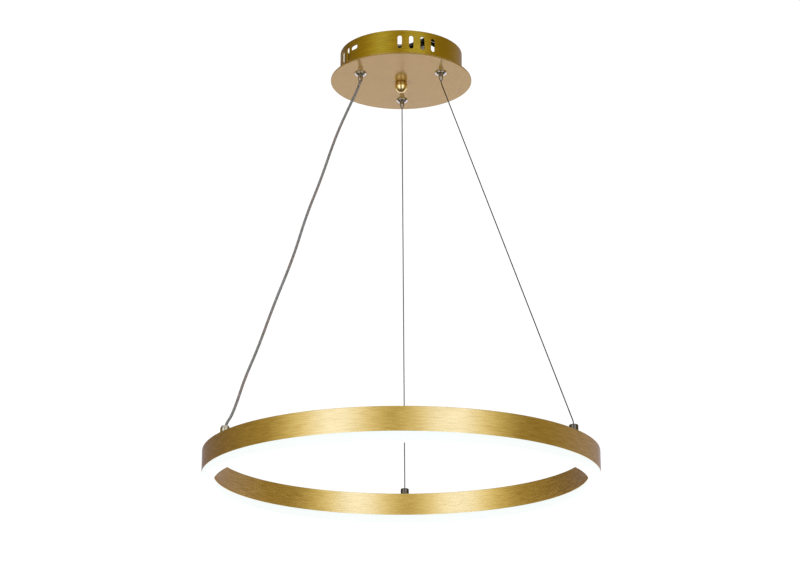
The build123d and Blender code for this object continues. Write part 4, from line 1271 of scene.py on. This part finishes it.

# %% [markdown]
# ### Who wears what
#
# Every CAD node and every new piece names a slot, and the slot is the name of its finish. A few
# pieces share a slot with their neighbours and still look different, so they get a finish by name.

# %% Give every piece its finish
# The nozzles wear chrome painted darker and gold: a painted reflection of the plate.
OWN_FINISHES = {
    "nozzle_far": "nozzle_nickel", "nozzle_left": "nozzle_nickel", "nozzle_right": "nozzle_nickel",
    "gland_left": "gland_chrome", "copper_core": "copper_strands", "tinned_core": "tinned_strands",
}
for subpart in frame["record"]["subparts"]:
    node = frame["nodes"][subpart["node"]]
    node.data.materials.clear()
    node.data.materials.append(finishes[subpart["material_slot"]])
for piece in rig.pieces():
    if piece.type == "MESH" and "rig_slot" in piece:
        piece.data.materials.clear()
        piece.data.materials.append(finishes[OWN_FINISHES.get(piece.name, piece["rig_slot"])])
print("finishes:", len(finishes))

# %% [markdown]
# ## Studio
#
# The background is white. Two wide soft boxes stand left and right of the camera, with a gap between
# them below the horizon, and make the bright stretches of the brushed ring. The room beyond is dim and
# warm, with a pale wall behind the lamp, a pale sweep below it that the plate mirrors, and a pale
# ceiling. Lamps could stand for the boxes, but their edges would show in the fittings, so the room is
# one soft world: its colour follows the direction round the lamp, and each part fades with the height.

# %% World
# Middle and half width of each box, in degrees round from the front
BOXES = ((-36, 49), (29.5, 48))
BOX_PLACES = (0, 0.35, 0.7, 1)
BOX_COLOURS = ((0, 0, 0), (0.37, 0.37, 0.22), (0.76, 0.80, 0.72), (1.12, 1.38, 2.1))
BOX_TOP = (0.40, 0.26)
BOX_SPILL = 0.02
BOX_FOOT = (-0.90, -0.72)
GAP_ANGLES = (5, 20)
GAP_TOP = (-0.12, 0)
ROOM_COLOURS = {
    -180: (0.30, 0.27, 0.33), -150: (0.22, 0.17, 0.17), -120: (0.21, 0.15, 0.07),
    -85: (0.35, 0.265, 0.085), 95: (0.305, 0.225, 0.07), 120: (0.33, 0.26, 0.19),
    145: (0.34, 0.27, 0.26), 180: (0.30, 0.27, 0.33),
}
ROOM_TOP = (0.35, 0.6)
ROOM_FOOT = (-0.75, -0.35)
ROOM_DIM = 0.35
# Colour of each pale part, and the angles and heights over which it fades in
PALE_PARTS = {
    "wall": ((0.40, 0.45, 0.60), [(155, 180)], [(-0.05, 0.05), BOX_TOP]),
    "sweep": ((0.85, 0.85, 0.86), [(95, 140)], [(0.02, -0.12), (-0.72, -0.42)]),
    "ceiling": ((0.9, 0.89, 0.87), [], [(0.62, 0.92)]),
}
BACKGROUND = 1.05
world = bpy.data.worlds.new("studio")
bpy.context.scene.world = world
world.use_nodes = True
tree = world.node_tree
tree.nodes.clear()
x, y, height = node_on(tree, "SeparateXYZ", {0: node_on(tree, "TexCoord", {})["Generated"]})
azimuth = number_on(tree, "ARCTAN2", x, number_on(tree, "MULTIPLY", y, -1))
turn_away = number_on(tree, "ABSOLUTE", azimuth)


def at_height(limits, low=0, high=1):
    """Soft step s^2 (3 - 2s) between two heights, from -1 straight down to 1 straight up."""
    return range_on(tree, height, low, high, limits, "SMOOTHSTEP")


def at_angle(limits, angle=turn_away):
    """Soft step between two angles in degrees round from the front, to either side."""
    return range_on(tree, angle, 0, 1, np.radians(limits), "SMOOTHSTEP")


def product(first, *others):
    """Product of several numbers."""
    for other in others:
        first = number_on(tree, "MULTIPLY", first, other)
    return first


def scaled(colour, amount):
    """Colour times a number."""
    return node_on(tree, "VectorMath", {"Vector": colour, "Scale": amount}, operation="SCALE")["Vector"]


lobes = []
for box_middle, half in BOXES:
    offset = number_on(tree, "SUBTRACT", azimuth, math.radians(box_middle))
    lobes.append(at_angle((half, 0), number_on(tree, "ABSOLUTE", offset)))
box_gap = number_on(tree, "MAXIMUM", at_angle(GAP_ANGLES), at_height(GAP_TOP))
box_band = product(at_height(BOX_TOP, low=BOX_SPILL), at_height(BOX_FOOT), box_gap)
boxes = ramp_on(tree, number_on(tree, "MAXIMUM", *lobes), BOX_PLACES, BOX_COLOURS)
room_places = [(angle + 180) / 360 for angle in ROOM_COLOURS]
room_band = product(at_height(ROOM_TOP, 1, ROOM_DIM), at_height(ROOM_FOOT, ROOM_DIM))
turn_share = range_on(tree, azimuth, 0, 1, limits=(-math.pi, math.pi))
room = ramp_on(tree, turn_share, room_places, ROOM_COLOURS.values())
glow = vector_on(tree, "ADD", scaled(boxes, box_band), scaled(room, room_band))
for colour, angles, heights in PALE_PARTS.values():
    band = product(*map(at_angle, angles), *map(at_height, heights))
    glow = vector_on(tree, "ADD", glow, ramp_on(tree, band, (0, 1), ((0, 0, 0), colour)))
around = node_on(tree, "Background", {"Color": glow})
background = node_on(tree, "Background", {"Color": (1, 1, 1, 1), "Strength": BACKGROUND})
seen = node_on(tree, "LightPath", {})["Is Camera Ray"]
both = node_on(tree, "MixShader", {0: seen, 1: around[0], 2: background[0]})
node_on(tree, "OutputWorld", {0: both[0]})
bpy.context.scene.view_settings.view_transform = "Standard"
print("world nodes:", len(tree.nodes))

# %% [markdown]
# The world alone leaves the tops of the pieces dull. A soft sun straight above lights them, and a wide
# pale floor far below throws some of its light back up. The metal mirrors neither of the two.

# %% Light from above
OVERHEAD = 1.6
OVERHEAD_SPREAD = math.radians(40)
overhead_data = bpy.data.lights.new("overhead", "SUN")
overhead_data.energy = OVERHEAD
overhead_data.angle = OVERHEAD_SPREAD
overhead = bpy.data.objects.new("overhead", overhead_data)
overhead.visible_glossy = False
bpy.context.collection.objects.link(overhead)
print("overhead light", OVERHEAD, "W/m2")

# %% Floor
FLOOR_Z = -2
FLOOR_HALF = 12
FLOOR_POINTS = 9
reach = np.linspace(-FLOOR_HALF, FLOOR_HALF, FLOOR_POINTS)
floor_points = np.stack(np.meshgrid(reach, reach, FLOOR_Z), axis=-1)
floor = add_mesh("floor", floor_points, grid_faces(FLOOR_POINTS, FLOOR_POINTS, close_columns=False))
floor.data.materials.append(finishes["pale_floor"])
floor.visible_glossy = False
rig.stage(floor)

# %% [markdown]
# Last, the box of the CAD and the box of the finished lamp are written side by side.

# %% Sizes
visual_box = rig.bounds()
with open("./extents.json", "w") as sizes:
    json.dump({"cad": [list(c) for c in cad_box], "visual": [list(c) for c in visual_box]}, sizes)
print("visual box:", np.round(visual_box, 4).tolist())
